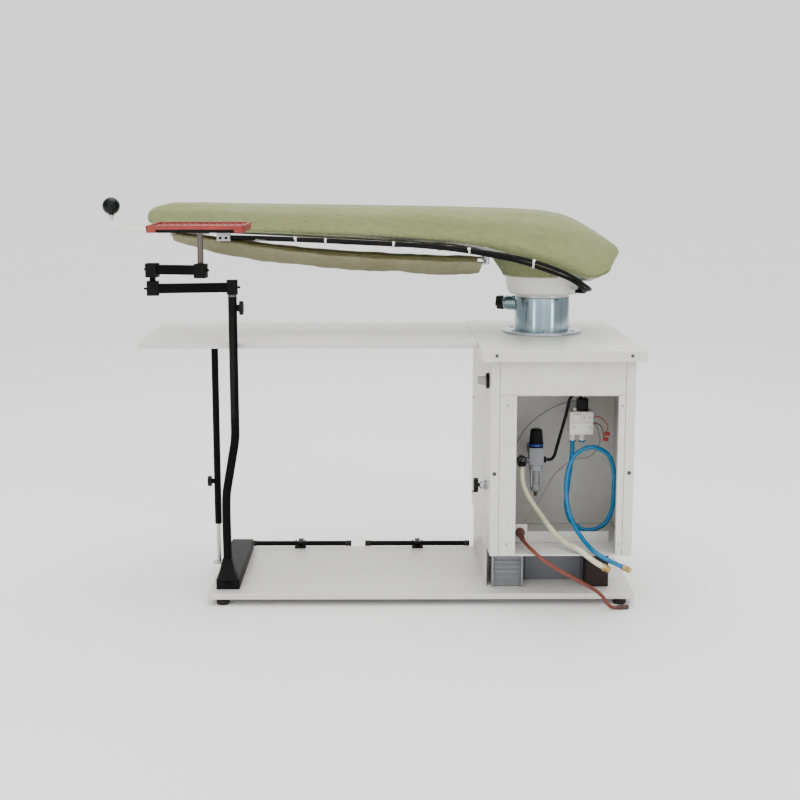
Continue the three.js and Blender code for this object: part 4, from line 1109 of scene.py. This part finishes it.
def make_board_rails():
    """Short brown boards and steel straps that show between the pan and the air lines."""
    wood = bmesh.new()
    steel = bmesh.new()
    for x, length in ((-235, 70), (-128, 52), (-48, 66), (60, 74), (160, 60)):
        half, _, low = along_board(x + length / 2)
        y = BOARD_Y - half + 24
        add_box(wood, (x, y, low - 14), (x + length, y + 12, low - 6.6), 1.0)
        add_box(steel, (x - 9, y - 1, low - 12), (x - 1, y + 13, low - 6.6), 0.8)
    finish("board_rails", wood, "board_wood", "board")
    finish("board_straps", steel, "steel", "board")


def make_line_clips():
    """White ties round the two air lines, and the bolts of the block that they start from."""
    upper, lower = smooth_route(from_y(BOARD_Y, UPPER_LINE)), smooth_route(from_y(BOARD_Y, LOWER_LINE))
    for k, x in enumerate((-156, -86, 65, 226, 372)):
        a = min(upper, key=lambda p: abs(p.x / MM - x) + (p.z < 0.7))
        b = min(lower, key=lambda p: abs(p.x / MM - x) + (p.z < 0.7))
        middle, gap = (a + b) / 2, (b - a) / 2
        out = gap.normalized()
        up = Vector((1, 0, 0)).cross(out).normalized()
        reach = gap.length + 4.6 * MM
        loop = [middle + out * (cos(turn) * reach) + up * (sin(turn) * 4.9 * MM)
                for turn in (2 * pi * i / 28 for i in range(28))]
        bm = bmesh.new()
        add_tube(bm, loop, 1.0 * MM, 8, closed=True)
        for vertex in bm.verts:
            vertex.co.x = (vertex.co.x - x * MM) * 2.2 + x * MM
        head = (middle - out * (gap.length + 3.2 * MM)) / MM
        add_box(bm, head - Vector((2.4, 2.4, 2.4)), head + Vector((2.4, 2.4, 2.4)), 0.6)
        finish(f"cable_tie_{k + 1}", bm, "white_plastic", "board", 40)
    places = [(x, BOARD_Y - 71, 791) for x in (-322, -309)]
    screws("line_block_bolts", "plastic", FORWARD, 3.4, places, "board")


def make_iron_rest():
    """The silicone mat: a raised rim, softly rounded, with rows of small studs in its well."""
    (x0, y0, z0), (x1, y1, z1) = box_mm("rest_mat")
    rim, floor = 5, z1 - 4.6
    bm = bmesh.new()
    add_box(bm, (x0 + 0.6, y0 + 0.6, z0 + 6.4), (x1 - 0.6, y1 - 0.6, floor), 0.8)
    for a, b, c, d in ((x0, x0 + rim, y0, y1), (x1 - rim, x1, y0, y1),
                       (x0, x1, y0, y0 + rim), (x0, x1, y1 - rim, y1)):
        add_box(bm, (a, c, z0 + 6.4), (b, d, z1), 1.6)
    (left, _, _), (right, _, _) = box_mm("rest_pan")
    for a, b in ((x0 + 0.3, left - 0.5), (right + 0.5, x1 - 0.3)):
        add_box(bm, (a, y0 + 0.3, z0), (b, y1 - 0.3, z0 + 8), 1.8)
    for i in range(13):
        for j in range(10):
            cx = x0 + 16 + (x1 - x0 - 32) * i / 12
            cy = y0 + 14 + (y1 - y0 - 28) * j / 9
            add_lathe(bm, [(0, 2.0), (1.6, 1.8), (2.6, 1.0), (3.0, -0.4)], (cx, cy, floor), sides=10)
    finish("iron_rest_mat", bm, "red", "iron_rest", 40, replaces="rest_mat")


def make_pedal_caps():
    cap = [(0, -0.6), (6.4, -0.6), (7, 0.2), (7, 12), (6.2, 13), (5.8, 13)]
    for name in ("pedal_left", "pedal_right"):
        (x0, _, z0), (x1, y1, _) = box_mm(name)
        ends = [(cap, (x, y1 - 6, z0 + 6), way, 32) for x, way in ((x0, RIGHT), (x1, LEFT))]
        turned(name + "_caps", "rubber", ends, BODIES[name], 35)


make_push_fittings()
make_valve_trim()
make_line_clips()
make_wires()
make_board_rails()
make_iron_rest()
make_pedal_caps()


# -------- stage
FLOOR_SIZE = 14  # half its side, metres
LIGHTS = {
    "key": ((0.9, -3.1, 3.3), (0, 0, 0.5), 20, 2.0, None),
    "fill": ((-2.6, -2.4, 1.5), (-0.2, 0, 0.5), 4, 1.6, None),
    "top": ((0, 0.3, 3.4), (0, 0, 0.5), 60, 2.6, None),
    "back": ((0.4, 3.2, 2.4), (0, 0, 0.6), 10, 2.2, None),
    "strip_left": ((-0.94, -1.68, 0.75), (0.405, 0.066, 0.62), 5, 0.2, 1.3),
    "strip_right": ((1.76, -1.67, 0.75), (0.405, 0.066, 0.62), 7, 0.24, 1.3),
}


def make_lights():
    """Soft lights, each with its place, aim, watts, width, and a height where it is a strip."""
    for name, (place, aim, watts, width, height) in LIGHTS.items():
        data = bpy.data.lights.new(name, "AREA")
        data.energy = watts
        data.size = width
        if height:
            data.shape = "RECTANGLE"
            data.size_y = height
        light = add_object(name, data)
        light.location = place
        light.rotation_euler = (Vector(aim) - Vector(place)).to_track_quat("-Z", "Y").to_euler()


def make_world(strength, horizon, sides):
    """A white studio: brightest overhead, dimmer at the horizon, and dimmer still at its two sides."""
    world = bpy.data.worlds.new("studio")
    world.use_nodes = True
    nodes = Nodes(world.node_tree)
    axes = nodes.axes("Generated")
    aside = nodes.ramp(nodes.math("ABSOLUTE", axes["X"]), 0.35, 0.85, 1, sides)
    above = nodes.ramp(axes["Z"], 0.1, 0.6, strength * horizon, strength)
    background = nodes.tree.nodes["Background"]
    background.inputs["Color"].default_value = (1, 1, 1, 1)
    nodes.link(nodes.math("MULTIPLY", aside, above), background.inputs["Strength"])
    return world


def make_stage():
    bm = bmesh.new()
    bmesh.ops.create_grid(bm, x_segments=1, y_segments=1, size=FLOOR_SIZE)
    floor = mesh_object("floor", bm)
    paint = Surface("floor", (0.93, 0.93, 0.93), 0.8)
    paint.vary(1.2, (0.985, 0.985, 0.985))
    floor.data.materials.append(paint.mat)
    bpy.context.scene.world = make_world(strength=1.9, horizon=0.72, sides=0.4)
    make_lights()


make_stage()
